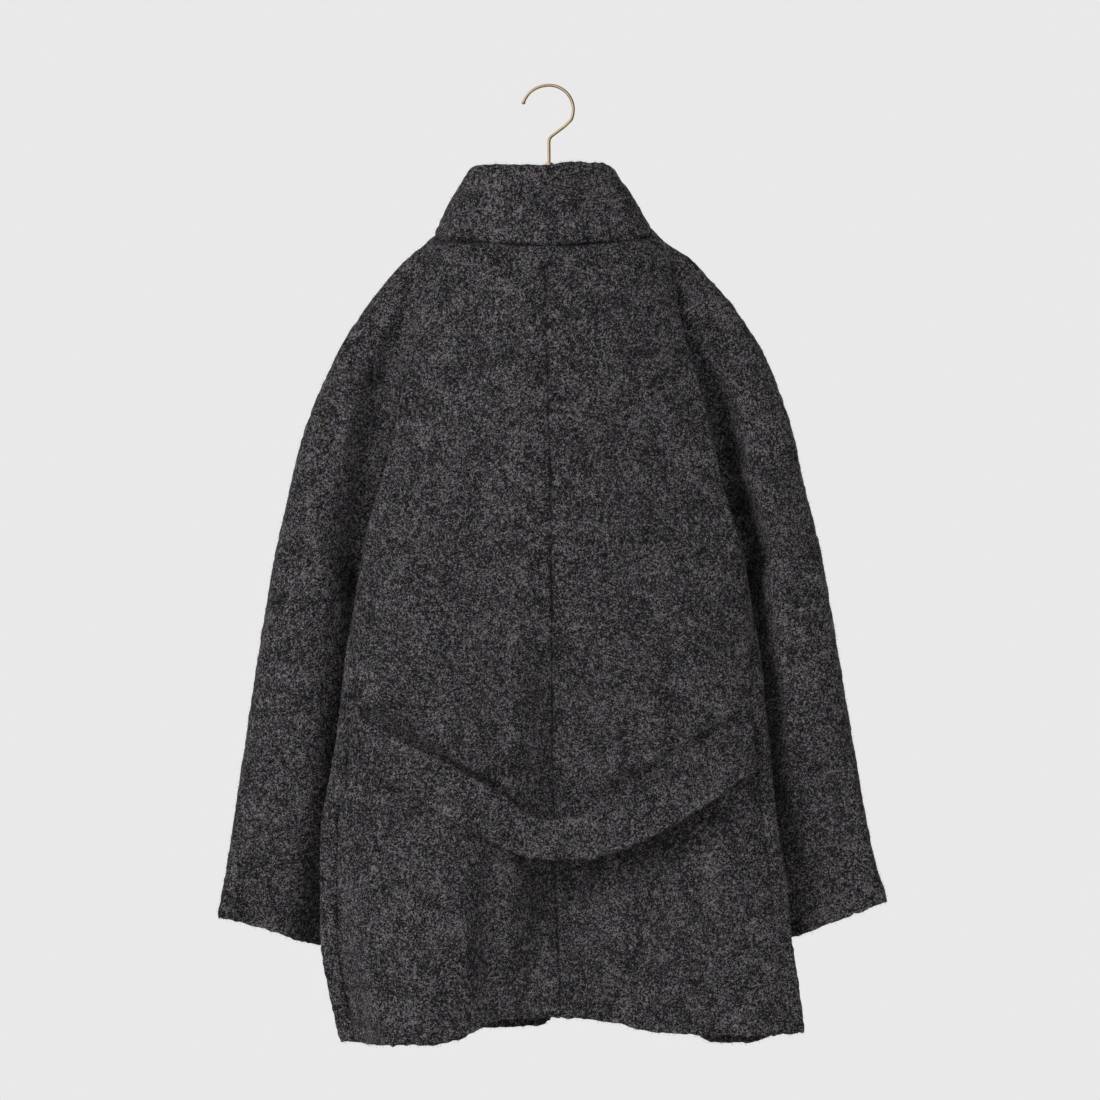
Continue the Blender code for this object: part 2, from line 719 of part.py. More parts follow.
# Common edge directions along the seams
every = slice(None)
above = slice(0, fold_row)
below = slice(fold_row, None)
share_normals((panels["back_left"], (every, 0)), (panels["back_right"], (every, 0)))
for side in (1, -1):
    name = SIDE_NAME[side]
    back = panels["back_" + name]
    front = panels["front_" + name]
    sleeve = panels["sleeve_" + name]
    share_normals((back, (above, -1)), (sleeve, (above, 0)))
    share_normals((front, (above, 0)), (sleeve, (above, -1)))
    share_normals((back, (below, -1)), (front, (below, 0)))
    share_normals((sleeve, (below, 0)), (sleeve, (below, -1)))
    columns = np.linspace(0.0, 1.0, BACK_COLUMNS)
    back.normal[0] = neck_normal(2.0 * columns if side > 0 else 12.0 - 2.0 * columns)
    columns = np.linspace(0.0, 1.0, FRONT_COLUMNS[side])
    front.normal[0] = neck_normal(4.0 + 2.25 * columns if side > 0 else 8.0 - 2.95 * columns)
    columns = np.linspace(0.0, 1.0, SLEEVE_COLUMNS)
    sleeve.normal[0] = neck_normal(2.0 + 2.0 * columns if side > 0 else 10.0 - 2.0 * columns)

# Seam gaps
for side in (1, -1):
    name = SIDE_NAME[side]
    for part in ("back_", "front_", "sleeve_"):
        panels[part + name].draw_in("first", SEAM_GAP / 2.0)
        if part != "front_":
            panels[part + name].draw_in("last", SEAM_GAP / 2.0)
        panels[part + name].draw_in("top", NECK_GAP / 2.0)

for name, panel in panels.items():
    shell(name, panel.grid, panel.inner(), WOOL[name.split("_")[0]])

# Collar, with its columns at those of the cloth below the neck seam
left_front = 4.0 + 2.25 * np.linspace(0.0, 1.0, FRONT_COLUMNS[1])
right_front = -4.0 - 2.95 * np.linspace(0.0, 1.0, FRONT_COLUMNS[-1])
over_arm = 2.0 + 2.0 * np.linspace(0.0, 1.0, SLEEVE_COLUMNS)[::2]
half_back = 2.0 * np.linspace(0.0, 1.0, BACK_COLUMNS)
steps = np.concatenate((left_front, over_arm, half_back, -half_back, -over_arm, right_front))
steps = np.concatenate((steps[np.abs(steps) < COLLAR_END - 0.1], (COLLAR_END, -COLLAR_END)))
turns = 0.5 - 0.5 * np.unique(np.round(steps, 6))[::-1] / COLLAR_END
heights = np.linspace(0.0, 1.0, COLLAR_ROWS)
collar_grid = collar_point(turns[None, :], heights[:, None])
collar = Panel("collar", collar_grid, COLLAR_WALL, collar_grid - np.array((8.0, 0.0, 120.0)))
collar.normal[0] = neck_normal(COLLAR_END * (1.0 - 2.0 * turns))
collar.draw_in("top", NECK_GAP / 2.0)
shell("collar", collar.grid, collar.inner(), WOOL["collar"])

# Half belt across the back
belt_along = np.linspace(-1.0, 1.0, 2 * BELT_COLUMNS - 1)[None, :]
belt_heights = np.linspace(0.0, 1.0, BELT_ROWS)[:, None]
belt_outer = belt_point(belt_along, belt_heights, np.asarray(BELT_WALL))
belt_inner = belt_point(belt_along, belt_heights, np.asarray(0.0))
shell("back_belt", belt_outer, belt_inner, WOOL["belt"])

# Hook, one bend of wire from its spread tip over the rail, then straight to the stem
hook_centre = HOOK_RADIUS - WIRE_RADIUS
hook_path = []
for angle in np.radians(np.linspace(HOOK_TIP_ANGLE, HOOK_LEAVE_ANGLE, 22)):
    reach = HOOK_RADIUS * (HOOK_SPREAD if math.cos(angle) < 0.0 else 1.0)
    hook_path.append((-reach * math.cos(angle), 0.0, hook_centre - HOOK_RADIUS * math.sin(angle)))
hook_path += [(x, 0.0, drop) for x, drop in HOOK_NECK]
hook_path += [(0.0, 0.0, FERRULE_TOP - 8.0), (0.0, 0.0, FERRULE_TOP - SEAM_GAP)]
tube("hanger_hook", hook_path, WIRE_RADIUS, 10, BRASS)

# Ferrule on the bar
ferrule_rings = []
ferrule_profile = ((FERRULE_TOP, 0.62), (FERRULE_TOP + 2.0, 0.9), (FERRULE_TOP + 5.0, 1.0), (FERRULE_BOTTOM, 1.0))
for drop, share in ferrule_profile:
    angles = np.linspace(0.0, 2.0 * math.pi, 16, endpoint=False)
    ring = np.stack((np.cos(angles), np.sin(angles), np.zeros(16)), axis=-1) * FERRULE_RADIUS * share
    ferrule_rings.append(ring + (0.0, 0.0, drop))
loft("hanger_ferrule", ferrule_rings, BRASS)


def bar_top(x):
    """Drop of the bar's top at a distance from the middle, under the cloth of the shoulders."""
    lines = SLEEVE_LINE.rows
    reach = np.array((112.0, 128.0, 143.0, 160.0, 177.0, 190.0))
    left = np.interp(reach, lines[:, 1], lines[:, 0])
    right = np.interp(reach, lines[:, 2], lines[:, 0])
    seat = np.maximum(left, right) + BAR_ROOM
    keys = np.concatenate(((0.0, 30.0, 68.0, 88.0), reach))
    drops = np.concatenate(((FERRULE_BOTTOM + SEAM_GAP, FERRULE_BOTTOM + 6.0, 124.0, 144.0), seat))
    line = Table(("x", "drop"), np.stack((keys, drops), axis=-1))
    return line.at("drop", np.abs(x))


# Bar with drooping arms that bow to the front
bar_rings = []
for x in np.linspace(-BAR_REACH, BAR_REACH, 33):
    way = abs(x) / BAR_REACH
    tip = math.sqrt(max(1.0 - max(way - 0.94, 0.0) ** 2 / 0.0045, 0.08))
    half = BAR_HALF_THICK * (1.0 - 0.25 * way) * tip
    tall = BAR_HEIGHT * (1.0 - 0.45 * way) * tip
    top = float(bar_top(x))
    angles = np.linspace(0.0, 2.0 * math.pi, 14, endpoint=False)
    across = np.cos(angles) * half
    down = top + tall / 2.0 - np.sin(angles) * tall / 2.0
    bow = -14.0 * (abs(x) / 190.0) ** 2
    bar_rings.append(np.stack((np.full(14, x), across + bow, down), axis=-1))
loft("hanger_bar", bar_rings, WOOD)

# Fine samples of the two fronts, to seat the toggles on
front_faces = {}
for side in (1, -1):
    fine = front_point(side, np.linspace(0.5, 1.0, 90)[None, :], np.linspace(0.0, 0.7, 140)[:, None])
    front_faces[side] = fine.reshape(-1, 3)


def front_depth(side, x, drop):
    """Y of a front's outer face at a place."""
    face = front_faces[side]
    return face[np.argmin((face[:, 0] - x) ** 2 + (face[:, 2] - drop) ** 2), 1]


# Toggles with their ties on the left front and their loops on the right front
for number, drop in enumerate(TOGGLE_DROPS, start=1):
    lap_y = front_depth(-1, LAP[-1] - 4.0, drop)
    cloth_y = front_depth(1, TOGGLE_X, drop)
    cord_y = min(lap_y, cloth_y) - CORD_RADIUS - 0.5
    loop = []
    for x in np.linspace(LOOP_START_X, LAP[-1] + 2.0, 6):
        loop.append((x, front_depth(-1, min(x, LAP[-1] - 1.0), drop) - CORD_RADIUS - 0.5, -LOOP_HALF_GAP))
    for angle in np.radians(np.linspace(-90.0, 90.0, 9)):
        loop.append((TOGGLE_X + LOOP_HALF_GAP * math.cos(angle), cord_y, LOOP_HALF_GAP * math.sin(angle)))
    for x, y, _ in loop[5::-1]:
        loop.append((x, y, LOOP_HALF_GAP))
    loop = [(x, y, drop + offset) for x, y, offset in loop]
    tube("toggle_loop_%d" % number, loop, CORD_RADIUS, 8, CORD)
    barrel_y = cord_y - CORD_RADIUS - 0.4 - TOGGLE_RADIUS
    rings = []
    for share in np.linspace(-1.0, 1.0, 9):
        radius = TOGGLE_RADIUS * (1.0 - 0.45 * abs(share) ** 2.5)
        angles = np.linspace(0.0, 2.0 * math.pi, 12, endpoint=False)
        ring = np.stack((np.zeros(12), np.cos(angles), np.sin(angles)), axis=-1) * radius
        rings.append(ring + (TOGGLE_X + share * TOGGLE_LENGTH / 2.0, barrel_y, drop))
    loft("toggle_%d" % number, rings, DARK_WOOD)
    tie_top = barrel_y + TOGGLE_RADIUS + 0.4
    tie = [(TOGGLE_X, y, drop) for y in np.linspace(cloth_y - 0.5, tie_top, 4)]
    tube("toggle_tie_%d" % number, tie, CORD_RADIUS, 8, CORD)
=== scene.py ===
"""Looks of the short toggle coat: nubby charcoal wool, dark wood toggles, a hanger with a brass hook.

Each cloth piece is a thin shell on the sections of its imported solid, with finer folds, sunk
seams, rounded edges and a nap of fibres. Sizes are in millimetres. A place is (x, y, drop):
x to the wearer's left, y to the back of the coat, drop down from the inner crown of the hook.
"""
import logging
import math
from dataclasses import dataclass, field
from enum import Enum

import bpy
import numpy as np
from bpy.types import ID, Material, Mesh, Node, NodeSocket, NodeTree, Object, Scene
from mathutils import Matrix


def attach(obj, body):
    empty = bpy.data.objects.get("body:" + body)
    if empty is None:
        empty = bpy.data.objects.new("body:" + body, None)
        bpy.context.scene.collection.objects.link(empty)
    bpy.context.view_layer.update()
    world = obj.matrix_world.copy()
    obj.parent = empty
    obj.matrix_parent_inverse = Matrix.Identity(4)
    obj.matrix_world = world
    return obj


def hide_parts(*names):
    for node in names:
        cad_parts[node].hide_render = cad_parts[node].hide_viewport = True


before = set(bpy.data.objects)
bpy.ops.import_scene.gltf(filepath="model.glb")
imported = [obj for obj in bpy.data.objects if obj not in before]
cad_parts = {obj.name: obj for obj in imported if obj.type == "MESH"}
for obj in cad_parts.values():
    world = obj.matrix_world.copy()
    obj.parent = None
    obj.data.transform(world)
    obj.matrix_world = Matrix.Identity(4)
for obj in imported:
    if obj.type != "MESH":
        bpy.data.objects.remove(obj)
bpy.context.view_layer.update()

Array = np.ndarray
Place = tuple[float, float, float]
LOG = logging.getLogger("toggle_coat")
MM = 0.001
FULL_TURN = 2.0 * math.pi
BODY = "root"
# Odd factors and shifts that scatter the corners of the noise lattice
CORNER_FACTORS = np.array((73856093, 19349663, 83492791))
SEED_FACTOR = 2654435
SCATTER_STEPS = ((15, 2246822519), (13, 3266489917))
LAST_SHIFT = 16
WORD_MASK = 0xFFFFFFFF
VALUE_MASK = 0xFFFFFF
# Close rows at a rounded edge, in shares of its radius
CLOSE_ROWS = (1.0, 0.55, 0.22, 0.0)
# Directions that no path here takes, to start the rings of a sweep and the strands of a cord
RING_START = (0.31, 0.84, 0.44)
STRAND_START = (0.12, 0.93, 0.35)
# Radius of a strand in shares of its cord's, and the points round it
STRAND_SHARE = 0.54
STRAND_SIDES = 8


class Side(Enum):
    """Wearer's side of the coat, with its sign along x."""

    LEFT = 1
    RIGHT = -1

    @property
    def label(self) -> str:
        """Word used in the names of the pieces."""
        return self.name.lower()

    @property
    def index(self) -> int:
        """Place in a pair of sizes, the left one first."""
        return 0 if self is Side.LEFT else 1


class Edge(Enum):
    """Edge of a cloth grid."""

    FIRST = "first column"
    LAST = "last column"
    TOP = "top row"
    BOTTOM = "bottom row"

    @property
    def across(self) -> bool:
        """True where the way in from the edge runs along a row."""
        return self in (Edge.FIRST, Edge.LAST)

    @property
    def axis(self) -> int:
        """Axis of the grid along which the way in runs."""
        return 1 if self.across else 0

    @property
    def at_end(self) -> bool:
        """True for the edge with the highest index."""
        return self in (Edge.LAST, Edge.BOTTOM)


def smooth(value: Array) -> Array:
    """Ease from 0 to 1 as the value goes from 0 to 1."""
    value = np.clip(value, 0.0, 1.0)
    return value * value * (3.0 - 2.0 * value)


def hump(value: Array) -> Array:
    """Soft bump, 1 at 0 and 0 past 1 on both sides."""
    value = np.clip(np.abs(value), 0.0, 1.0)
    return (1.0 - value * value) ** 2


def unit(vectors: Array) -> Array:
    """Vectors brought to length one."""
    return vectors / np.maximum(np.linalg.norm(vectors, axis=-1, keepdims=True), 1e-9)


def alike(*values: Array | float) -> list[Array]:
    """Values as arrays of floats with one shape."""
    return np.broadcast_arrays(*(np.asarray(value, dtype=float) for value in values))


def lattice_noise(points: Array, size: float, seed: int) -> Array:
    """Give a smooth random height at each place.

    Args:
        points: Places in millimetres along the last axis.
        size: Spacing of the random lattice in millimetres.
        seed: Number that picks the pattern.

    Returns:
        Heights from about -1 to 1.
    """
    scaled = points / size
    cell = np.floor(scaled)
    share = scaled - cell
    weight = share ** 3 * (share * (share * 6.0 - 15.0) + 10.0)
    cell = cell.astype(np.int64)
    total = np.zeros(points.shape[:-1])
    for corner in np.ndindex(2, 2, 2):
        key = (cell + np.array(corner)) @ CORNER_FACTORS + seed * SEED_FACTOR
        for shift, factor in SCATTER_STEPS:
            key = ((key ^ (key >> shift)) * factor) & WORD_MASK
        value = ((key ^ (key >> LAST_SHIFT)) & VALUE_MASK) / (VALUE_MASK // 2) - 1.0
        share_of_corner = np.where(np.array(corner) == 1, weight, 1.0 - weight)
        total += value * share_of_corner.prod(axis=-1)
    return total


@dataclass(frozen=True)
class SizeTable:
    """Short table of sizes with named columns, read smoothly between its rows."""

    columns: tuple[str, ...]
    rows: tuple[tuple[float, ...], ...]

    def at(self, column: str, key: Array | float) -> Array:
        """Read a column.

        Args:
            column: Name of the column.
            key: Values of the first column to read at.

        Returns:
            The column's values there, held at its ends.
        """
        rows = np.array(self.rows, dtype=float)
        keys = rows[:, 0]
        values = rows[:, self.columns.index(column)]
        step = np.diff(keys)
        slope = np.diff(values) / step
        both = slope[:-1] * slope[1:]
        total = np.where(both > 0.0, slope[:-1] + slope[1:], 1.0)
        inside = np.where(both > 0.0, 2.0 * both / total, 0.0)
        tangent = np.concatenate(([slope[0]], inside, [slope[-1]]))
        key = np.clip(np.asarray(key, dtype=float), keys[0], keys[-1])
        i = np.clip(np.searchsorted(keys, key, side="right") - 1, 0, len(step) - 1)
        t = (key - keys[i]) / step[i]
        rest = 1.0 - t
        start = values[i] * (1.0 + 2.0 * t) * rest ** 2 + tangent[i] * step[i] * t * rest ** 2
        end = values[i + 1] * t * t * (3.0 - 2.0 * t) + tangent[i + 1] * step[i] * t * t * (t - 1.0)
        return start + end


@dataclass(frozen=True)
class Fold:
    """Large soft fold of the body that grows from its top to the hem."""

    x_top: float
    x_hem: float
    top: float
    full: float
    half_width: float
    rise: float

    def at(self, x: Array, drop: Array) -> Array:
        """Work out the fold's relief.

        Args:
            x: Places across the coat.
            drop: Drops of these places.

        Returns:
            Rise of the cloth there.
        """
        way = np.clip((drop - self.top) / (self.full - self.top), 0.0, 1.0)
        middle = self.x_top + (self.x_hem - self.x_top) * way
        return self.rise * smooth(way) * hump((x - middle) / self.half_width)


@dataclass(frozen=True)
class Crease:
    """Soft trough (rise below 0) or ridge (above 0) along a line, fading at both ends."""

    x_start: float
    drop_start: float
    x_end: float
    drop_end: float
    half_width: float
    rise: float
    fading: float = 0.3
    left_at_ends: float = 0.15

    def at(self, x: Array, drop: Array) -> Array:
        """Work out the crease's relief.

        Args:
            x: Places across the coat.
            drop: Drops of these places.

        Returns:
            Rise of the cloth there.
        """
        run_x = self.x_end - self.x_start
        run_drop = self.drop_end - self.drop_start
        length_squared = run_x ** 2 + run_drop ** 2
        along = ((x - self.x_start) * run_x + (drop - self.drop_start) * run_drop) / length_squared
        off_x = x - self.x_start - run_x * np.clip(along, 0.0, 1.0)
        off_drop = drop - self.drop_start - run_drop * np.clip(along, 0.0, 1.0)
        fade = smooth(np.minimum(along, 1.0 - along) / self.fading + self.left_at_ends)
        return self.rise * fade * hump(np.hypot(off_x, off_drop) / self.half_width)


def creases(*rows: tuple[float, ...]) -> tuple[Crease, ...]:
    """Creases from rows of their sizes."""
    return tuple(Crease(*row) for row in rows)


def curve_between(p0: Array, p1: Array, p2: Array, p3: Array, t: Array) -> Array:
    """Draw the smooth curve between the middle two of four places.

    Args:
        p0: Place before the curve.
        p1: Start of the curve.
        p2: End of the curve.
        p3: Place after the curve.
        t: Shares of the way from p1 to p2.

    Returns:
        Places on the curve.
    """
    bend = 2.0 * p0 - 5.0 * p1 + 4.0 * p2 - p3
    twist = 3.0 * (p1 - p2) + p3 - p0
    return 0.5 * (2.0 * p1 + (p2 - p0) * t + bend * t * t + twist * t ** 3)


@dataclass(frozen=True)
class NeckLine:
    """Neck seam and the collar's top edge, twelve steps round from the middle of the back."""

    seam: tuple[Place, ...] = (
        (4, 44, 162.5), (69, 37, 158.5), (110, 16, 155), (114, -5, 150), (97, -36, 172),
        (52, -48, 195), (8, -50, 204), (-36, -48, 195), (-84, -36, 170), (-97, -5, 139),
        (-101, 16, 151), (-61, 37, 158.5),
    )
    collar_top: tuple[Place, ...] = (
        (8, 36, 81), (54, 31, 80.5), (75, 18, 80.5), (81, 0, 91), (70, -20, 104), (42, -33, 117),
        (9, -37, 124), (-25, -33, 117), (-54, -20, 103), (-65, 0, 89), (-59, 18, 79.5),
        (-39, 31, 77.5),
    )
    middle_x: float = 8.0
    tilt: float = 12.0
    tilt_at_side: float = 30.0
    tilt_power: float = 1.5
    probe: float = 0.05

    @staticmethod
    def around(ring: tuple[Place, ...], step: Array) -> Array:
        """Walk round a ring of twelve steps.

        Args:
            ring: The twelve places.
            step: How far round, 12 for the whole way.

        Returns:
            Places on the smooth closed line through the ring.
        """
        rows = np.array(ring, dtype=float)
        step = np.asarray(step, dtype=float)
        i = np.floor(step).astype(int)
        near = (rows[(i + k) % len(rows)] for k in (-1, 0, 1, 2))
        return curve_between(*near, (step - i)[..., None])

    def seam_at(self, step: Array) -> Array:
        """Places on the neck seam."""
        return self.around(self.seam, step)

    def corner(self, side: Side, step: int) -> Place:
        """Place on the neck seam some whole steps from the middle of the back."""
        return self.seam[step if side is Side.LEFT else len(self.seam) - step]

    def facing(self, step: Array) -> Array:
        """Directions that the cloth faces at the neck seam: outward, tilted up.

        Args:
            step: How far round the seam.

        Returns:
            Unit directions in (x, y, drop).
        """
        step = np.asarray(step, dtype=float)
        along = self.seam_at(step + self.probe) - self.seam_at(step - self.probe)
        out = np.stack((-along[..., 1], along[..., 0], np.zeros_like(step)), axis=-1)
        away = self.seam_at(step) - np.array((self.middle_x, 0.0, 0.0))
        out = unit(out * np.sign(out[..., 0] * away[..., 0] + out[..., 1] * away[..., 1])[..., None])
        sideways = np.abs(np.sin(math.pi * step / (len(self.seam) / 2))) ** self.tilt_power
        tilt = np.radians(self.tilt + self.tilt_at_side * sideways)
        out = out * np.cos(tilt)[..., None]
        out[..., 2] = -np.sin(tilt)
        return out


def put(name: str, data: ID) -> Object:
    """Put a new object into the scene.

    Args:
        name: Name of the object.
        data: Its mesh, lamp or camera.

    Returns:
        The object.
    """
    made = bpy.data.objects.new(name, data)
    bpy.context.scene.collection.objects.link(made)
    return made


def piece_from_mesh(
    name: str, mesh: Mesh, look: Material, stands_for: str | None = None,
) -> Object:
    """Put a finished mesh into the scene as a piece of the coat.

    Args:
        name: Name of the piece.
        mesh: Its mesh, in place.
        look: Its material.
        stands_for: Solid that it replaces, if any.

    Returns:
        The piece, riding on the coat's body.
    """
    if not mesh.materials:
        mesh.materials.append(look)
    mesh.shade_smooth()
    made = put(name, mesh)
    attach(made, BODY)
    if stands_for:
        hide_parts(stands_for)
    LOG.info("piece %s: %d faces", name, len(mesh.polygons))
    return made


def mesh_from_points(name: str, points: Array, faces: list[list[int]]) -> Mesh:
    """Make a mesh.

    Args:
        name: Name of the mesh.
        points: Places (x, y, drop) in millimetres.
        faces: Point numbers of each face.

    Returns:
        The mesh, in metres with z up.
    """
    mesh = bpy.data.meshes.new(name)
    mesh.from_pydata((np.asarray(points) * (MM, MM, -MM)).tolist(), [], faces)
    mesh.update()
    return mesh


@dataclass
class ClothGrid:
    """A cloth piece as a fine grid on its outer face, with a wall behind it.

    Rows and columns are odd in number, because the wall's inner face has every second one.
    Each layer of nubs has its size, weight and seed.
    """

    name: str
    points: Array
    wall: float
    outward: Array
    nub_height: float = 0.62
    nubs: tuple[tuple[float, float, int], ...] = ((4.2, 0.75, 3), (8.0, 0.45, 5), (22.0, 0.3, 7))
    wobble: float = 0.45
    wobble_size: float = 5.0
    wobble_seeds: tuple[int, int, int] = (13, 19, 23)
    ragged: float = 1.5
    ragged_size: float = 4.4
    ragged_reach: float = 4.0
    ragged_seed: int = 29
    edge_round: float = 0.92
    swell_start: float = 5.0
    free_inset: float = 0.25
    fringe: float = 22.0
    seam_depth: float = 1.6
    seam_reach: float = 6.0
    seam_mean: float = 0.55
    seam_swing: float = 0.6
    seam_least: float = 0.25
    seam_swing_size: float = 17.0
    seam_seed: int = 11
    seam_flat: float = 0.6
    seam_shade_power: float = 1.5
    normals: Array = field(init=False)
    rise: Array = field(init=False)
    dip: Array = field(init=False)
    inset: Array = field(init=False)

    def __post_init__(self) -> None:
        """Work out the outward directions and start with no relief."""
        across = np.gradient(self.points, axis=1)
        down = np.gradient(self.points, axis=0)
        normal = unit(np.cross(across, down))
        self.normals = normal * np.sign(np.sum(normal * self.outward))
        self.rise = np.zeros(self.points.shape[:2])
        self.dip = np.zeros_like(self.rise)
        self.inset = np.zeros_like(self.rise)

    def line(self, edge: Edge) -> tuple[slice | int, slice | int]:
        """Index of an edge's points."""
        place = -1 if edge.at_end else 0
        return (slice(None), place) if edge.across else (place, slice(None))

    def distance(self, edge: Edge) -> Array:
        """Measure the way along the cloth from an edge.

        Args:
            edge: The edge to start from.

        Returns:
            The way to every point.
        """
        axis = edge.axis
        points = np.flip(self.points, axis) if edge.at_end else self.points
        step = np.linalg.norm(np.diff(points, axis=axis), axis=-1)
        start = np.zeros_like(np.take(step, [0], axis))
        far = np.concatenate((start, np.cumsum(step, axis=axis)), axis=axis)
        return np.flip(far, axis) if edge.at_end else far

    def ways(self, edge: Edge) -> Array:
        """Unit directions along the grid lines that cross an edge, towards higher indices."""
        return unit(np.gradient(self.points, axis=edge.axis))

    def draw_in(self, edge: Edge, amount: float) -> None:
        """Move an edge back along the cloth, so that a seam gap is left.

        Args:
            edge: The edge on the seam.
            amount: How far it moves.
        """
        line = self.line(edge)
        beside = list(line)
        beside[edge.axis] += -1 if edge.at_end else 1
        self.points[line] += unit(self.points[tuple(beside)] - self.points[line]) * amount

    def face_edge(self, edge: Edge, facing: Array, reach: float = 14.0) -> None:
        """Turn the directions near an edge to those that a seam shares.

        Args:
            edge: The edge on the seam.
            facing: Shared directions along the edge; rows of zeros leave the cloth's own.
            reach: Width of the band that turns.
        """
        facing = facing[:, None, :] if edge.across else facing[None, :, :]
        known = np.linalg.norm(facing, axis=-1) > 0.5
        weight = np.where(known, np.exp(-(self.distance(edge) / reach) ** 2), 0.0)[..., None]
        self.normals = unit(self.normals * (1.0 - weight) + facing * weight)

    def sink_seam(self, edge: Edge, deeper: float = 1.0) -> None:
        """Sink the cloth where it is sewn at an edge.

        Args:
            edge: The sewn edge.
            deeper: How many times deeper than usual.
        """
        near = np.clip(1.0 - self.distance(edge) / self.seam_reach, 0.0, 1.0) ** 2
        swing = lattice_noise(self.points, self.seam_swing_size, self.seam_seed)
        uneven = np.clip(self.seam_mean + self.seam_swing * swing, self.seam_least, 1.0)
        self.dip = np.maximum(self.dip, deeper * self.seam_depth * near * uneven)

    def round_edge(self, edge: Edge, swell: float = 0.7, hem: float = 22.0) -> None:
        """Round a free edge, with the slight swell of the cloth turned in behind it.

        Args:
            edge: The free edge.
            swell: Height of the swell.
            hem: Depth of the turned-in cloth.
        """
        far = self.distance(edge)
        ragged = self.ragged * lattice_noise(self.points, self.ragged_size, self.ragged_seed)
        ragged = ragged * np.exp(-(far / self.ragged_reach) ** 2)
        self.points = self.points + self.ways(edge) * ragged[..., None]
        radius = self.wall / 2.0
        short = radius - np.minimum(far, radius)
        inset = self.edge_round * (radius - np.sqrt(radius ** 2 - short ** 2))
        self.inset = np.maximum(self.inset, inset)
        full = 0.6 * hem
        fade = 0.8 * hem
        self.rise = self.rise + swell * smooth(far / self.swell_start) * (1.0 - smooth((far - full) / fade))

    def round_corner(self, edges: tuple[Edge, Edge], radius: float) -> None:
        """Round a free corner of the cloth, seen flat.

        Args:
            edges: The two free edges that meet there.
            radius: Radius of the corner.
        """
        near = [radius - np.minimum(self.distance(edge), radius) for edge in edges]
        pull = 1.0 - np.maximum(*near) / np.maximum(np.hypot(*near), 1e-9)
        for edge, amount in zip(edges, near):
            step = -1.0 if edge.at_end else 1.0
            self.points = self.points + self.ways(edge) * (step * amount * pull)[..., None]

    def press(self, troughs: tuple[Crease, ...], held: float = 90.0) -> None:
        """Press deep troughs of the back straight in, so that its seams keep their places.

        Args:
            troughs: The troughs in (x, drop).
            held: Width of the band beside the side seam that takes less of them.
        """
        free = smooth(self.distance(Edge.LAST) / held)
        x = self.points[..., 0]
        drop = self.points[..., 2]
        self.points[..., 1] += free * sum(one.at(x, drop) for one in troughs)

    def crease(
        self, rows: tuple[Crease, ...], where: Array | float = 1.0,
        held: tuple[Edge, ...] = (), reach: float = 16.0,
    ) -> None:
        """Press listed creases into the cloth.

        Args:
            rows: The creases in (x, drop).
            where: Share of them that each point takes.
            held: Sewn edges that stay where they are.
            reach: Width of the band beside a sewn edge that takes less of them.
        """
        for edge in held:
            where = where * smooth(self.distance(edge) / reach)
        for one in rows:
            self.rise = self.rise + where * one.at(self.points[..., 0], self.points[..., 2])

    def build(self, look: Material, stands_for: str) -> Object:
        """Make the closed shell.

        Args:
            look: Material of the cloth.
            stands_for: Solid that it replaces.

        Returns:
            The piece, with the thickness of its nap and the depth of its seams on its points; the wool paints
            that depth as shade.
        """
        rows, columns = self.points.shape[:2]
        nub = sum(weight * lattice_noise(self.points, size, seed) for size, weight, seed in self.nubs)
        pressed = np.clip(self.dip / self.seam_depth + self.inset / self.wall, 0.0, 1.0)
        flat = 1.0 - self.seam_flat * pressed
        lift = self.rise - self.dip - self.inset + self.nub_height * nub * flat
        wobble = [lattice_noise(self.points, self.wobble_size, seed) for seed in self.wobble_seeds]
        outer = self.points + self.normals * lift[..., None] + self.wobble * np.stack(wobble, axis=-1)
        behind = (self.rise - self.wall + self.inset)[::2, ::2, None]
        inner = self.points[::2, ::2] + self.normals[::2, ::2] * behind
        index = np.arange(rows * columns).reshape(rows, columns)
        inner_index = rows * columns + np.arange(inner.shape[0] * inner.shape[1]).reshape(inner.shape[:2])
        quads = [self.quads(index), self.quads(inner_index)[:, ::-1]]
        rim = self.rim(index, inner_index)
        first = index[rows // 2, columns // 2]
        centre = outer.reshape(-1, 3)[[first, first + 1, first + columns]] * (1.0, 1.0, -1.0)
        turn = np.cross(centre[1] - centre[0], centre[2] - centre[0])
        facing = self.normals[rows // 2, columns // 2] * (1.0, 1.0, -1.0)
        if np.dot(turn, facing) < 0.0:
            quads = [part[:, ::-1] for part in quads]
            rim = rim[:, ::-1]
        points = np.concatenate((outer.reshape(-1, 3), inner.reshape(-1, 3)))
        mesh = mesh_from_points(self.name, points, np.concatenate(quads).tolist() + rim.tolist())
        fringe = np.where(self.inset > self.free_inset * self.wall, self.fringe, 0.0)
        thick = np.concatenate((np.maximum(fringe, flat).ravel(), fringe[::2, ::2].ravel()))
        # Painted shade: share of each point's seam depth, which the wool turns into a darker colour along the
        # seam groove
        sunk = np.clip(self.dip / self.seam_depth, 0.0, 1.0) ** self.seam_shade_power
        dark = np.concatenate((sunk.ravel(), np.zeros(inner_index.size)))
        for label, values in (("nap", thick), ("seam", dark)):
            kept = mesh.attributes.new(label, "FLOAT", "POINT")
            kept.data.foreach_set("value", values.astype(np.float32))
        return piece_from_mesh(self.name, mesh, look, stands_for)

    @staticmethod
    def quads(index: Array) -> Array:
        """Four-sided faces of a grid of point numbers."""
        corners = (index[:-1, :-1], index[:-1, 1:], index[1:, 1:], index[1:, :-1])
        return np.stack([corner.ravel() for corner in corners], axis=-1)

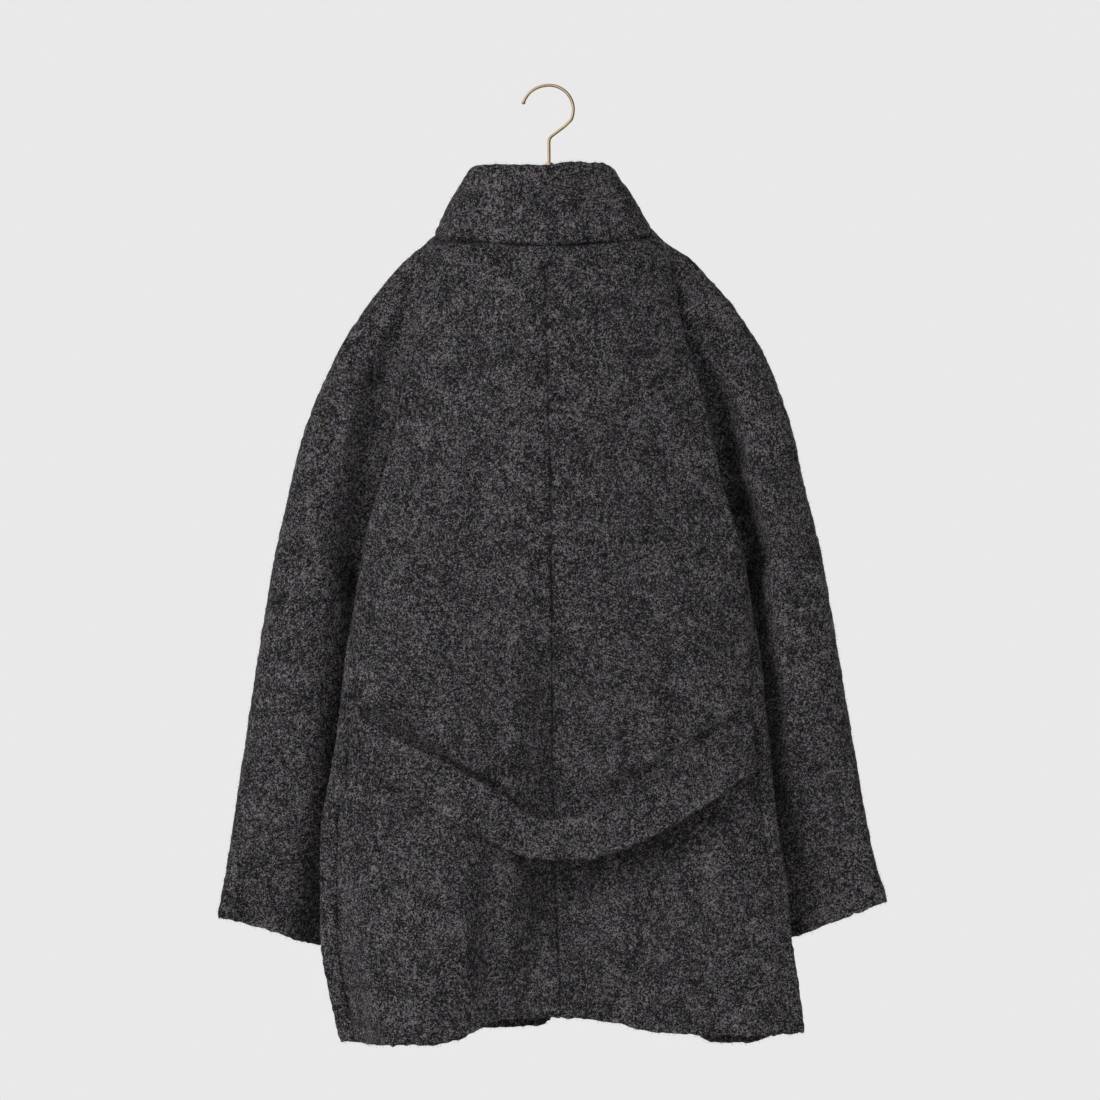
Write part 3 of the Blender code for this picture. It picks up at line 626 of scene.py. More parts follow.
    @staticmethod
    def rim(index: Array, inner: Array) -> Array:
        """Close the wall between the fine outer grid and the coarser inner one.

        Args:
            index: Point numbers of the outer grid.
            inner: Point numbers of the inner grid.

        Returns:
            The triangles of the rim.
        """
        loops = []
        for grid in (index, inner):
            sides = (grid[0, :-1], grid[:-1, -1], grid[-1, :0:-1], grid[:0:-1, 0])
            loops.append(np.concatenate(sides))
        a0 = loops[0][0::2]
        a1 = loops[0][1::2]
        a2 = np.roll(a0, -1)
        b0 = loops[1]
        b1 = np.roll(b0, -1)
        threes = ((a1, a0, b0), (a1, b0, b1), (a2, a1, b1))
        return np.concatenate([np.stack(three, axis=-1) for three in threes])


# A piece of cloth, its edge on a seam and its rows there
SewnEdge = tuple[ClothGrid, Edge, slice]


def share_seam(*sewn: SewnEdge) -> None:
    """Give the cloth on both sides of a seam one common direction.

    Args:
        sewn: The two sides of the seam.
    """
    mean = unit(sum(cloth.normals[cloth.line(edge)][rows] for cloth, edge, rows in sewn))
    for cloth, edge, rows in sewn:
        facing = np.zeros((cloth.points.shape[0], 3))
        facing[rows] = mean
        cloth.face_edge(edge, facing)


def edge_steps(count: int, length: float, rounding: float) -> Array:
    """Even steps from 0 to 1 with a few close ones at the end, for a rounded edge.

    Args:
        count: Number of steps in all, at least 6.
        length: Length of the cloth in millimetres.
        rounding: Radius of the rounding in millimetres.

    Returns:
        The values after the start, the last one 1.
    """
    close = 1.0 - np.array(CLOSE_ROWS) * rounding / length
    even = np.linspace(0.0, close[0], count - 2)[1:]
    return np.concatenate((even, close[1:]))


@dataclass(frozen=True)
class BodyForm:
    """Sections of the body from the neck seam to the hem, and its hems and large folds."""

    neck: NeckLine = NeckLine()
    middle_drops: tuple[float, float] = (162.5, 930.0)
    hem_corners: tuple[float, float] = (191.0, -236.0)
    underarm: float = 0.41
    seam_turn: float = 22.0
    seam_turn_band: float = 0.16
    past_side: float = 90.001
    armhole_half_depth: float = 26.0
    armhole_power: float = 5.0
    round_start: float = 0.08
    round_band: float = 0.24
    back_roundness: float = 0.8
    front_roundness: float = 0.55
    edge_power: float = 12.0
    front_flat: float = -36.0
    front_turn_start: float = 0.06
    front_turn_band: float = 0.2
    front_lower: float = 20.0
    neck_band: float = 0.16
    front_neck_band: float = 0.2
    front_seam_band: float = 0.45
    laps: tuple[float, float] = (4.0, 48.0)
    lap_part: float = 4.5
    lap_from_drop: float = 300.0
    collar_end: float = 5.93
    collar_room: float = 4.5
    collar_room_start: float = 0.1
    collar_room_band: float = 0.12
    side_line: SizeTable = SizeTable(("drop", "left", "right", "y", "flat"), (
        (150, 108, 98, -10, 16), (178, 123, 121, -10, 17), (215, 131, 128, -10, 17),
        (265, 138.5, 140.5, -9, 18), (315, 149, 154.5, -8, 18), (355, 156.5, 164.5, -6, 18),
        (395, 167.5, 173.5, -4, 18), (435, 179.5, 184.5, 0, 18), (475, 188, 196, 5, 17.5),
        (515, 195.5, 203.5, 8, 17), (565, 204.5, 212.5, 10.5, 16.5), (615, 209.5, 217.5, 12.5, 16),
        (655, 214.5, 221.5, 14, 15.5), (695, 221.5, 224.5, 15, 15.5), (735, 228.5, 229.5, 15.5, 15.5),
        (795, 229.5, 238.5, 17, 17), (855, 228.5, 243.5, 18, 18), (905, 220.5, 250.5, 20, 20),
        (956, 208.5, 256, 22, 22),
    ))
    front_raglan: SizeTable = SizeTable(("share", "left", "right"), (
        (0, 97, 84), (0.25, 116, 110), (0.5, 136, 136), (0.75, 158, 163), (1, 190, 197),
    ))
    back_middle: SizeTable = SizeTable(("drop", "x", "y"), (
        (160, 3, 44), (250, 2, 48), (415, -2, 48), (560, -3, 47), (640, -3.5, 45), (735, -4.5, 41),
        (830, -8, 39), (932, -12.5, 37),
    ))
    front_middle: SizeTable = SizeTable(("drop", "y"), (
        (200, -50), (300, -55), (480, -57), (640, -57), (800, -55), (950, -53),
    ))
    back_hem: SizeTable = SizeTable(("x", "drop"), (
        (-254, 948), (-206, 951), (-145, 950.2), (-103, 947.4), (-63, 938.3), (-28, 933.6), (2, 932.4),
        (46, 932.2), (72, 942.2), (89, 949.6), (118, 954.3), (175, 955.3), (203, 958.5),
    ))
    front_hems: tuple[SizeTable, SizeTable] = (
        SizeTable(("x", "drop"), ((-10, 947), (50, 950), (100, 953), (150, 955), (215, 957))),
        SizeTable(("x", "drop"), (
            (-258, 947), (-232, 951), (-205, 962), (-175, 965), (-161, 964.5), (-149, 956),
            (-110, 946), (-60, 937), (50, 934),
        )),
    )
    back_folds: tuple[Fold, ...] = (
        Fold(112, 142, 600, 955, 152, 40), Fold(-150, -200, 620, 955, 124, 4),
        Fold(34, 24, 470, 900, 46, -9), Fold(-60, -52, 700, 955, 52, -7),
    )
    valley: SizeTable = SizeTable(("drop", "depth"), (
        (190, 0), (250, 5), (310, 14), (370, 24), (425, 29), (485, 27), (530, 14), (590, 0),
    ))
    roll: float = 0.085
    front_folds: tuple[Fold, ...] = (
        Fold(104, 116, 560, 955, 74, -20), Fold(-112, -128, 560, 955, 78, -24),
        Fold(30, 34, 620, 955, 60, 7), Fold(-52, -44, 640, 955, 50, 7),
    )

    def seam_angle(self, v: Array) -> Array:
        """Angle of the side seam round the section, in degrees."""
        return 90.0 - self.seam_turn * smooth((v - self.underarm) / self.seam_turn_band)

    def edge_drop(self, side: Side, v: Array | float) -> Array:
        """Work out the drop of the back's side line.

        Args:
            side: Half of the coat.
            v: Share of the height.

        Returns:
            The drop there.
        """
        neck = self.neck.corner(side, 2)[2]
        hem = self.back_hem.at("drop", self.hem_corners[side.index])
        return neck + (hem - neck) * v

    def armhole(self, v: Array) -> Array:
        """Half depth of the armhole at a share of the body's height."""
        share = np.clip(v / self.underarm, 0.0, 1.0)
        return self.armhole_half_depth * np.sqrt(np.clip(1.0 - share ** self.armhole_power, 0.0, 1.0))

    def section(self, side: Side, v: Array, psi: Array) -> tuple[Array, Array]:
        """Walk round a level section of the body.

        Args:
            side: Half of the coat.
            v: Share of the height, 0 at the neck and 1 at the hem.
            psi: Angle in degrees: back middle 0, side 90, front middle 180.

        Returns:
            The values of x and of y.
        """
        drop = self.edge_drop(side, v)
        top, hem = self.middle_drops
        middle = top + (hem - top) * v
        above = v <= self.underarm
        x_side = self.side_line.at(side.label, drop)
        y_side = self.side_line.at("y", drop)
        share = np.clip(v / self.underarm, 0.0, 1.0)
        x_front = np.where(above, self.front_raglan.at(side.label, share), x_side)
        x_front = x_front + (x_side - x_front) * smooth((share - 0.8) / 0.2)
        back = psi <= 90.0
        angle = np.radians(psi)
        x_mid = np.where(back, self.back_middle.at("x", middle), 0.0)
        x_edge = np.where(back, x_side, x_front)
        y_front = self.front_middle.at("y", middle + self.front_lower)
        y_mid = np.where(back, self.back_middle.at("y", middle), y_front)
        y_edge = y_side + np.where(above, np.where(back, self.armhole(v), -self.armhole(v)), 0.0)
        ease = smooth((v - self.underarm + self.round_start) / self.round_band)
        turn_in = smooth((v - self.underarm + self.front_turn_start) / self.front_turn_band)
        front_flat = self.front_flat + (y_side - self.front_flat) * turn_in
        y_flat = np.where(back, self.side_line.at("flat", drop), front_flat)
        power = 2.0 / (1.0 + np.where(back, self.back_roundness, self.front_roundness) * ease)
        sine = np.sin(angle)
        x = x_mid + (side.value * x_edge - x_mid) * sine
        y = y_flat + (y_mid - y_flat) * np.abs(np.cos(angle)) ** power
        return x, y + (y_edge - y_flat) * np.abs(sine) ** self.edge_power

    def back_step(self, side: Side, u: Array) -> Array:
        """Step round the neck seam over a back half."""
        return 2.0 * u if side is Side.LEFT else 12.0 - 2.0 * u

    def front_step(self, side: Side, u: Array) -> Array:
        """Step round the neck seam over a front."""
        return 4.0 + 2.25 * u if side is Side.LEFT else 8.0 - 2.95 * u

    def back_raw(self, side: Side, u: Array, v: Array) -> Array:
        """Lay out a back half before its top is drawn to the neck seam.

        Args:
            side: Half of the coat.
            u: Centre seam 0, side 1.
            v: Neck 0, hem 1.

        Returns:
            Places (x, y, drop).
        """
        x, y = self.section(side, v, u * self.seam_angle(v))
        one = np.ones_like(v)
        hem_x, _ = self.section(side, one, u * self.seam_angle(one))
        neck = self.neck.seam_at(self.back_step(side, u))[..., 2]
        drop = neck + (self.back_hem.at("drop", hem_x) - neck) * v
        drop = drop + (self.edge_drop(side, v) - drop) * smooth((u - 0.6) / 0.4)
        y = y + sum(fold.at(x, drop) for fold in self.back_folds) * smooth((1.0 - u) / 0.25)
        return np.stack((x, y, drop), axis=-1)

    def back_point(self, side: Side, u: Array, v: Array) -> Array:
        """Outer face of a back half.

        Args:
            side: Half of the coat.
            u: Centre seam 0, side 1.
            v: Neck 0, hem 1.

        Returns:
            Places (x, y, drop).
        """
        u, v = alike(u, v)
        neck = self.neck.seam_at(self.back_step(side, u))
        shift = neck - self.back_raw(side, u, np.zeros_like(v))
        place = self.back_raw(side, u, v) + shift * (1.0 - smooth(v / self.neck_band))[..., None]
        near = np.clip(1.0 - (1.0 - u) / self.roll, 0.0, 1.0)
        place[..., 1] -= self.valley.at("depth", place[..., 2]) * (1.0 - np.sqrt(1.0 - near ** 2))
        return place

    def back_normal(self, side: Side, u: Array, v: Array) -> Array:
        """Work out which way the back's face looks.

        Args:
            side: Half of the coat.
            u: Centre seam 0, side 1.
            v: Neck 0, hem 1.

        Returns:
            Outward unit directions.
        """
        step = 0.01
        low_u = np.clip(u - step, 0.0, 1.0)
        high_u = np.clip(u + step, 0.0, 1.0)
        across = self.back_point(side, high_u, v) - self.back_point(side, low_u, v)
        down = self.back_point(side, u, v + step) - self.back_point(side, u, v - step)
        normal = np.cross(across, down)
        return unit(normal * np.sign(normal[..., 1:2]))

    def front_end(self, side: Side, v: Array) -> Array:
        """Angle of a front's free edge round the section, in degrees."""
        x_side = self.side_line.at(side.label, np.maximum(self.edge_drop(side, v), self.lap_from_drop))
        return 180.0 + np.degrees(np.arcsin(self.laps[side.index] / x_side))

    def front_seam(self, side: Side, v: Array) -> Array:
        """Lay out a front's side line: its raglan seam, then the side seam shared with the back.

        Args:
            side: Half of the coat.
            v: Share of the height.

        Returns:
            Places (x, y, drop).
        """
        share = np.clip(v / self.underarm, 0.0, 1.0)
        beside = np.full_like(v, self.past_side)
        x, y = self.section(side, v, beside)
        top = np.array(self.neck.corner(side, 4), dtype=float)
        under = self.edge_drop(side, np.full_like(v, self.underarm))
        point = np.stack((x, y, top[2] + (under - top[2]) * share), axis=-1)
        start_x, start_y = self.section(side, np.zeros_like(v), beside)
        start = np.stack((start_x, start_y, np.full_like(v, top[2])), axis=-1)
        point = point + (top - start) * (1.0 - smooth(share / 0.5))[..., None]
        point[..., 1] -= self.valley.at("depth", under) * smooth((share - 0.7) / 0.3)
        below = self.back_point(side, np.ones_like(v), v)
        return np.where((v > self.underarm)[..., None], below, point)

    def lap_shift(self, side: Side, x: Array) -> Array:
        """Work out how far a front parts from the other one where they lap.

        Args:
            side: Half of the coat.
            x: Places across the coat.

        Returns:
            The shift along y.
        """
        if side is Side.LEFT:
            return self.lap_part * (1.0 - smooth((x - 10.0) / 70.0))
        return -self.lap_part * smooth((x + 70.0) / 60.0)

    def front_raw(self, side: Side, u: Array, v: Array) -> Array:
        """Lay out a front before its side line is drawn to the seam.

        Args:
            side: Half of the coat.
            u: Side line 0, free edge 1.
            v: Neck 0, hem 1.

        Returns:
            Places (x, y, drop).
        """
        start = np.where(v <= self.underarm, self.past_side, self.seam_angle(v))
        psi = start + (self.front_end(side, v) - start) * u
        x, y = self.section(side, v, psi)
        step = self.front_step(side, u)
        neck = self.neck.seam_at(step)
        past = step - self.collar_end if side is Side.LEFT else 12.0 - self.collar_end - step
        neck[..., 2] += self.collar_room * smooth((past + self.collar_room_start) / self.collar_room_band)
        neck = neck - self.neck.facing(step) * self.lap_shift(side, neck[..., 0])[..., None]
        one = np.ones_like(v)
        hem_psi = self.seam_angle(one) + (self.front_end(side, one) - self.seam_angle(one)) * u
        hem_x, _ = self.section(side, one, hem_psi)
        hem = self.front_hems[side.index].at("drop", hem_x)
        drop = neck[..., 2] + (hem - neck[..., 2]) * v
        y = y + sum(fold.at(x, drop) for fold in self.front_folds) * smooth((psi - 95.0) / 25.0)
        point = np.stack((x, y + self.lap_shift(side, x), drop), axis=-1)
        zero = np.zeros_like(v)
        top_psi = self.past_side + (self.front_end(side, zero) - self.past_side) * u
        top_x, top_y = self.section(side, zero, top_psi)
        top = np.stack((top_x, top_y + self.lap_shift(side, top_x), neck[..., 2]), axis=-1)
        return point + (neck - top) * (1.0 - smooth(v / self.front_neck_band))[..., None]

    def front_point(self, side: Side, u: Array, v: Array) -> Array:
        """Outer face of a front.

        Args:
            side: Half of the coat.
            u: Side line 0, free edge 1.
            v: Neck 0, hem 1.

        Returns:
            Places (x, y, drop).
        """
        u, v = alike(u, v)
        pull = np.clip(1.0 - u / self.front_seam_band, 0.0, 1.0) ** 2
        shift = self.front_seam(side, v) - self.front_raw(side, np.zeros_like(v), v)
        return self.front_raw(side, u, v) + shift * pull[..., None]


@dataclass(frozen=True)
class SleeveForm:
    """Sections of the sleeves from the neck seam over the shoulder to the cuff."""

    body: BodyForm = BodyForm()
    groove_places: tuple[tuple[float, float], tuple[float, float]] = ((0.30, 0.26), (0.22, 0.26))
    sunk: float = 10.0
    sunk_start: float = 0.2
    sunk_band: float = 0.5
    sunk_end_band: float = 0.25
    sunk_place: float = 0.12
    sunk_half_width: float = 0.3
    seam_clear: float = 0.06
    underarm_band: float = 0.2
    neck_band: float = 0.25
    outer_point: float = 0.45
    underarm_outer_drop: float = 455.0
    cuff_outer_drops: tuple[float, float] = (836.5, 820.0)
    cuff_inner_drops: tuple[float, float] = (871.0, 869.0)
    outer_line: SizeTable = SizeTable(("drop", "left", "right", "y"), (
        (137, 101, 96, -5), (153.6, 118.7, 112.7, -5), (173.7, 144, 143.5, -7),
        (193.5, 162.2, 162, -9), (213.5, 178.4, 180.5, -11.5), (233.5, 192.5, 195, -14),
        (253.6, 206, 208.5, -16), (273.7, 216.5, 219.5, -18), (314, 235, 235.5, -20),
        (354.4, 249.5, 248, -22), (394.8, 259.5, 256.3, -24), (465, 275.5, 273.8, -28),
        (566, 292.7, 291.7, -31.5), (667.7, 308, 308.5, -31), (769, 323, 327, -30),
        (819.5, 331.5, 341.5, -30.5), (834.7, 334.5, 345, -31),
    ))
    inner_line: SizeTable = SizeTable(("drop", "left", "right", "y"), (
        (480, 190, 197, 6), (488, 186, 193, 0), (500, 184, 191, -7), (520, 184, 192, -16),
        (560, 186, 196, -26), (600, 188, 199, -31), (640, 188, 199, -34), (700, 190, 199, -36),
        (760, 193, 202, -37), (870, 200, 208, -38),
    ))
    form: SizeTable = SizeTable(("way", "half_depth", "point", "back_point", "groove_left", "groove_right"), (
        (0, 14, 2, 2, 0, 0), (0.3, 20, 2, 2, 10, 4), (0.55, 25, 2, 2.1, 14, 13),
        (0.8, 31, 2, 2.4, 11, 12), (1, 34, 2, 3, 5, 5), (1.25, 38, 1.7, 3.3, 3, 3),
        (1.6, 39, 1.4, 3.6, 1, 1), (2, 37, 1.3, 3.6, 0, 0),
    ))

    def neck_step(self, side: Side, s: Array) -> Array:
        """Step round the neck seam over a sleeve."""
        return 2.0 + 2.0 * s if side is Side.LEFT else 10.0 - 2.0 * s

    def raw(self, side: Side, s: Array, way: Array) -> Array:
        """Lay out a sleeve before its top is drawn to the neck seam.

        Args:
            side: Side of the coat.
            s: Back seam 0, over the arm 0.5, front seam 1.
            way: Neck 0, underarm 1, cuff 2.

        Returns:
            Places (x, y, drop).
        """
        body = self.body
        on_back = s < 0.5
        share = np.clip(way, 0.0, 1.0)
        arm = np.clip(way - 1.0, 0.0, 1.0)
        behind = body.back_point(side, np.ones_like(way), share * body.underarm)
        ahead = body.front_seam(side, share * body.underarm)
        under = float(body.edge_drop(side, body.underarm))
        low = under + (self.cuff_inner_drops[side.index] - under) * arm
        inner_x = side.value * self.inner_line.at(side.label, low)
        inner = np.stack((inner_x, self.inner_line.at("y", low), low), axis=-1)
        start_x = side.value * self.inner_line.at(side.label, under)
        start = np.array((start_x, self.inner_line.at("y", under), under))
        inner = inner + (behind - start) * (1.0 - smooth(arm / self.underarm_band))[..., None]
        inner = np.where((way > 1.0)[..., None], inner, 0.5 * (behind + ahead))
        shoulder = body.neck.corner(side, 3)[2]
        high = shoulder + (self.underarm_outer_drop - shoulder) * share
        high = high + (self.cuff_outer_drops[side.index] - self.underarm_outer_drop) * arm
        outer_x = side.value * self.outer_line.at(side.label, high)
        outer = np.stack((outer_x, self.outer_line.at("y", high), high), axis=-1)
        across = 0.5 - 0.5 * np.cos(FULL_TURN * s)
        sine = np.sin(FULL_TURN * s)
        power = np.where(on_back, self.form.at("back_point", way), self.form.at("point", way))
        power = np.where(across < 0.5, power, self.outer_point)
        half = self.form.at("half_depth", way) * np.abs(sine) ** power * np.sign(sine)
        point = inner + (outer - inner) * across[..., None]
        ends = np.where(on_back[..., None], behind - inner, ahead - inner)
        point = point + ends * np.where(way <= 1.0, (1.0 - 2.0 * s) ** 2, 0.0)[..., None]
        sunk = self.sunk * smooth((way - self.sunk_start) / self.sunk_band)
        sunk = sunk * (1.0 - smooth((way - 1.0) / self.sunk_end_band))
        sunk = sunk * hump((across - self.sunk_place) / self.sunk_half_width) * smooth(s / self.seam_clear)
        point[..., 1] -= np.where(on_back, sunk, 0.0)
        place, width = self.groove_places[side.index]
        groove = self.form.at("groove_" + side.label, way) * hump((across - place) / width)
        point[..., 1] += half - np.where(on_back, groove, 0.0)
        return point

    def point(self, side: Side, s: Array, way: Array) -> Array:
        """Outer face of a sleeve.

        Args:
            side: Side of the coat.
            s: Back seam 0, over the arm 0.5, front seam 1.
            way: Neck 0, underarm 1, cuff 2.

        Returns:
            Places (x, y, drop).
        """
        s, way = alike(s, way)
        neck = self.body.neck.seam_at(self.neck_step(side, s))
        shift = neck - self.raw(side, s, np.zeros_like(way))
        return self.raw(side, s, way) + shift * (1.0 - smooth(way / self.neck_band))[..., None]


@dataclass(frozen=True)
class Cut:
    """Flat size that a piece of cloth was cut to, seams and hems turned in, in millimetres."""

    width: float
    length: float
    fill: float

    def declare(
        self, piece: Object, rests_on: list[str], with_pieces: list[Object],
    ) -> None:
        """Take a piece of cloth and do nothing with it; it is not stated as a hung sheet of this cut.

        Args:
            piece: The piece of cloth; not used.
            rests_on: Solids that hold it up; not used.
            with_pieces: Pieces that go with it; not used.
        """


@dataclass
class BodyCloth:
    """The two back halves and the two fronts."""

    form: BodyForm
    wall: float = 3.0
    gap: float = 0.08
    neck_gap: float = 0.3
    corner: float = 15.0
    neck_sink: float = 1.7
    facing_depth: float = 30.0
    skirt_length: float = 470.0
    front_width: float = 270.0
    raglan_rows: int = 150
    skirt_rows: int = 216
    back_columns: int = 111
    front_columns: int = 90
    side_crowding: float = 1.3
    back_cut: Cut = Cut(270.0, 810.0, 0.80)
    front_cuts: tuple[Cut, Cut] = (Cut(270.0, 800.0, 0.85), Cut(320.0, 800.0, 0.85))
    back_troughs: tuple[Crease, ...] = creases(
        (-9, 535, -14, 900, 58, -23, 0.25), (-70, 600, -70, 850, 96, -16, 0.3),
        (-8, 790, -14, 1150, 50, -3, 0.3), (-160, 720, -165, 1400, 200, -18, 0.45),
    )
    back_creases: tuple[Crease, ...] = creases(
        (-121, 540, -128, 700, 20, -5), (-150, 590, -166, 650, 16, -2.5), (58, 470, 52, 760, 24, -5.5),
        (56, 750, 58, 940, 26, -9), (-22, 745, -32, 915, 20, -5.5), (226, 602, 50, 708, 11, -9, 0.12),
        (-70, 790, -78, 905, 22, 2), (194, 548, 176, 642, 10, -3), (100, 330, 118, 470, 26, -1.8),
        (-96, 300, -128, 430, 24, -1.6), (-190, 770, -204, 900, 22, -2),
        (-34, 724, -205, 628, 11, -6, 0.12), (168, 760, 182, 880, 20, -2.2),
        (-24, 330, -60, 395, 20, -1.2),
    )
    front_creases: tuple[Crease, ...] = creases(
        (132, 300, 96, 420, 24, -5), (-128, 290, -84, 430, 26, -5.5), (170, 520, 120, 640, 26, -5),
        (-176, 510, -130, 660, 28, -6), (66, 640, 74, 930, 26, -7), (-78, 660, -70, 930, 28, -8),
        (150, 700, 168, 930, 28, 6), (-160, 690, -186, 930, 30, 6), (-22, 330, -44, 410, 18, -2.5),
    )

    def rows(self) -> Array:
        """Lay out the rows, close together at the hem.

        Returns:
            Their shares of the height, in a column.
        """
        top = self.form.underarm
        upper = np.linspace(0.0, top, self.raglan_rows + 1)
        lower = top + (1.0 - top) * edge_steps(self.skirt_rows, self.skirt_length, self.wall / 2.0)
        return np.concatenate((upper, lower))[:, None]

    def cut(self) -> dict[str, ClothGrid]:
        """Lay out the four pieces.

        Returns:
            Grids by name, not yet sewn.
        """
        made = {}
        outward = np.array((0.0, 1.0, 0.0))
        v = self.rows()
        u = 1.0 - (1.0 - np.linspace(0.0, 1.0, self.back_columns)[None, :]) ** self.side_crowding
        steps = edge_steps(self.front_columns, self.front_width, self.wall / 2.0)
        u_front = np.concatenate(((0.0,), steps))[None, :]
        for side in Side:
            back = ClothGrid("wool_back_" + side.label, self.form.back_point(side, u, v), self.wall, outward)
            back.draw_in(Edge.LAST, self.gap)
            made["back_" + side.label] = back
            face = self.form.front_point(side, u_front, v)
            front = ClothGrid("wool_front_" + side.label, face, self.wall, -outward)
            front.round_corner((Edge.LAST, Edge.BOTTOM), self.corner)
            made["front_" + side.label] = front
            neck_steps = (self.form.back_step(side, u[0]), self.form.front_step(side, u_front[0]))
            for cloth, step in zip((back, front), neck_steps):
                cloth.draw_in(Edge.FIRST, self.gap)
                cloth.draw_in(Edge.TOP, self.neck_gap)
                cloth.face_edge(Edge.TOP, self.form.neck.facing(step))
                cloth.sink_seam(Edge.TOP, self.neck_sink)
                cloth.sink_seam(Edge.FIRST)
                cloth.round_edge(Edge.BOTTOM)
            back.sink_seam(Edge.LAST)
            front.round_edge(Edge.LAST, hem=self.facing_depth)
            back.press(self.back_troughs)
            back.crease(self.back_creases, held=(Edge.LAST, Edge.TOP))
            front.crease(self.front_creases, held=(Edge.FIRST, Edge.TOP))
        return made


@dataclass
class SleeveCloth:
    """The two sleeves, each one tube below the underarm."""

    form: SleeveForm
    body: BodyCloth
    columns: int = 121
    arm_rows: int = 166
    arm_length: float = 390.0
    back_share: float = 0.48
    front_share: float = 0.52
    share_band: float = 0.14
    mirror_drops: tuple[float, float] = (14.0, -10.0)
    mirror_width: float = 1.1
    mirror_rise: float = 0.9
    cut_size: Cut = Cut(330.0, 800.0, 0.80)
    hollows: tuple[Crease, Crease] = creases(
        (205, 868, 360, 838, 150, -20, 0.1), (-232, 804, -352, 752, 115, -13.5),
    )
    back_creases: tuple[Crease, ...] = creases(
        (164, 250, 206, 400, 34, -6), (212, 600, 292, 560, 30, -2), (268, 420, 232, 520, 22, -1.8),
        (318, 680, 262, 712, 18, -1.6), (206, 300, 226, 390, 18, -1.6),
    )
    front_creases: tuple[Crease, ...] = creases(
        (210, 560, 285, 520, 26, -6), (214, 610, 296, 588, 22, -5), (222, 690, 300, 650, 24, -4),
        (232, 790, 318, 770, 34, -4.5), (196, 330, 230, 430, 20, -4), (168, 250, 196, 330, 18, -3),
    )

    def cut(self) -> dict[str, ClothGrid]:
        """Lay out the two sleeves.

        Returns:
            Grids by name, not yet sewn.
        """
        made = {}
        upper = np.linspace(0.0, 1.0, self.body.raglan_rows + 1)
        lower = 1.0 + edge_steps(self.arm_rows, self.arm_length, self.body.wall / 2.0)
        way = np.concatenate((upper, lower))[:, None]
        s = np.linspace(0.0, 1.0, self.columns)[None, :]
        for side in Side:
            points = self.form.point(side, s, way)
            outward = points - points.mean(axis=1, keepdims=True)
            sleeve = ClothGrid("wool_sleeve_" + side.label, points, self.body.wall, outward)
            sleeve.draw_in(Edge.FIRST, self.body.gap)
            sleeve.draw_in(Edge.LAST, self.body.gap)
            sleeve.draw_in(Edge.TOP, self.body.neck_gap)
            sleeve.face_edge(Edge.TOP, self.form.body.neck.facing(self.form.neck_step(side, s[0])))
            for edge in (Edge.TOP, Edge.FIRST, Edge.LAST):
                sleeve.sink_seam(edge)
            sleeve.round_edge(Edge.BOTTOM)
            on_back = smooth((self.back_share - s) / self.share_band)
            on_front = smooth((s - self.front_share) / self.share_band)
            held = (Edge.FIRST, Edge.LAST, Edge.TOP)
            for rows, where in ((self.back_creases, on_back), (self.front_creases, on_front)):
                sleeve.crease(tuple(self.turned(crease, side) for crease in rows), where, held)
            sleeve.crease((self.hollows[side.index],), on_back, held)
            made["sleeve_" + side.label] = sleeve
        return made

    def turned(self, crease: Crease, side: Side) -> Crease:
        """Turn a crease of the left sleeve to a side.

        Args:
            crease: The left sleeve's crease.
            side: Side of the coat.

        Returns:
            The crease itself, or its uneven mirror on the right sleeve.
        """
        if side is Side.LEFT:
            return crease
        start, end = self.mirror_drops
        return Crease(
            -crease.x_start, crease.drop_start + start, -crease.x_end, crease.drop_end + end,
            crease.half_width * self.mirror_width, crease.rise * self.mirror_rise,
        )


def sew(grids: dict[str, ClothGrid], raglan_rows: int) -> None:
    """Give the cloth on both sides of each seam one common direction.

    Args:
        grids: The cut pieces by name.
        raglan_rows: Number of rows above the underarm.
    """
    every = slice(None)
    above = slice(0, raglan_rows)
    below = slice(raglan_rows, None)
    share_seam((grids["back_left"], Edge.FIRST, every), (grids["back_right"], Edge.FIRST, every))
    for side in Side:
        back, front, sleeve = (grids[part + side.label] for part in ("back_", "front_", "sleeve_"))
        share_seam((back, Edge.LAST, above), (sleeve, Edge.FIRST, above))
        share_seam((front, Edge.FIRST, above), (sleeve, Edge.LAST, above))
        share_seam((back, Edge.LAST, below), (front, Edge.FIRST, below))
        share_seam((sleeve, Edge.FIRST, below), (sleeve, Edge.LAST, below))


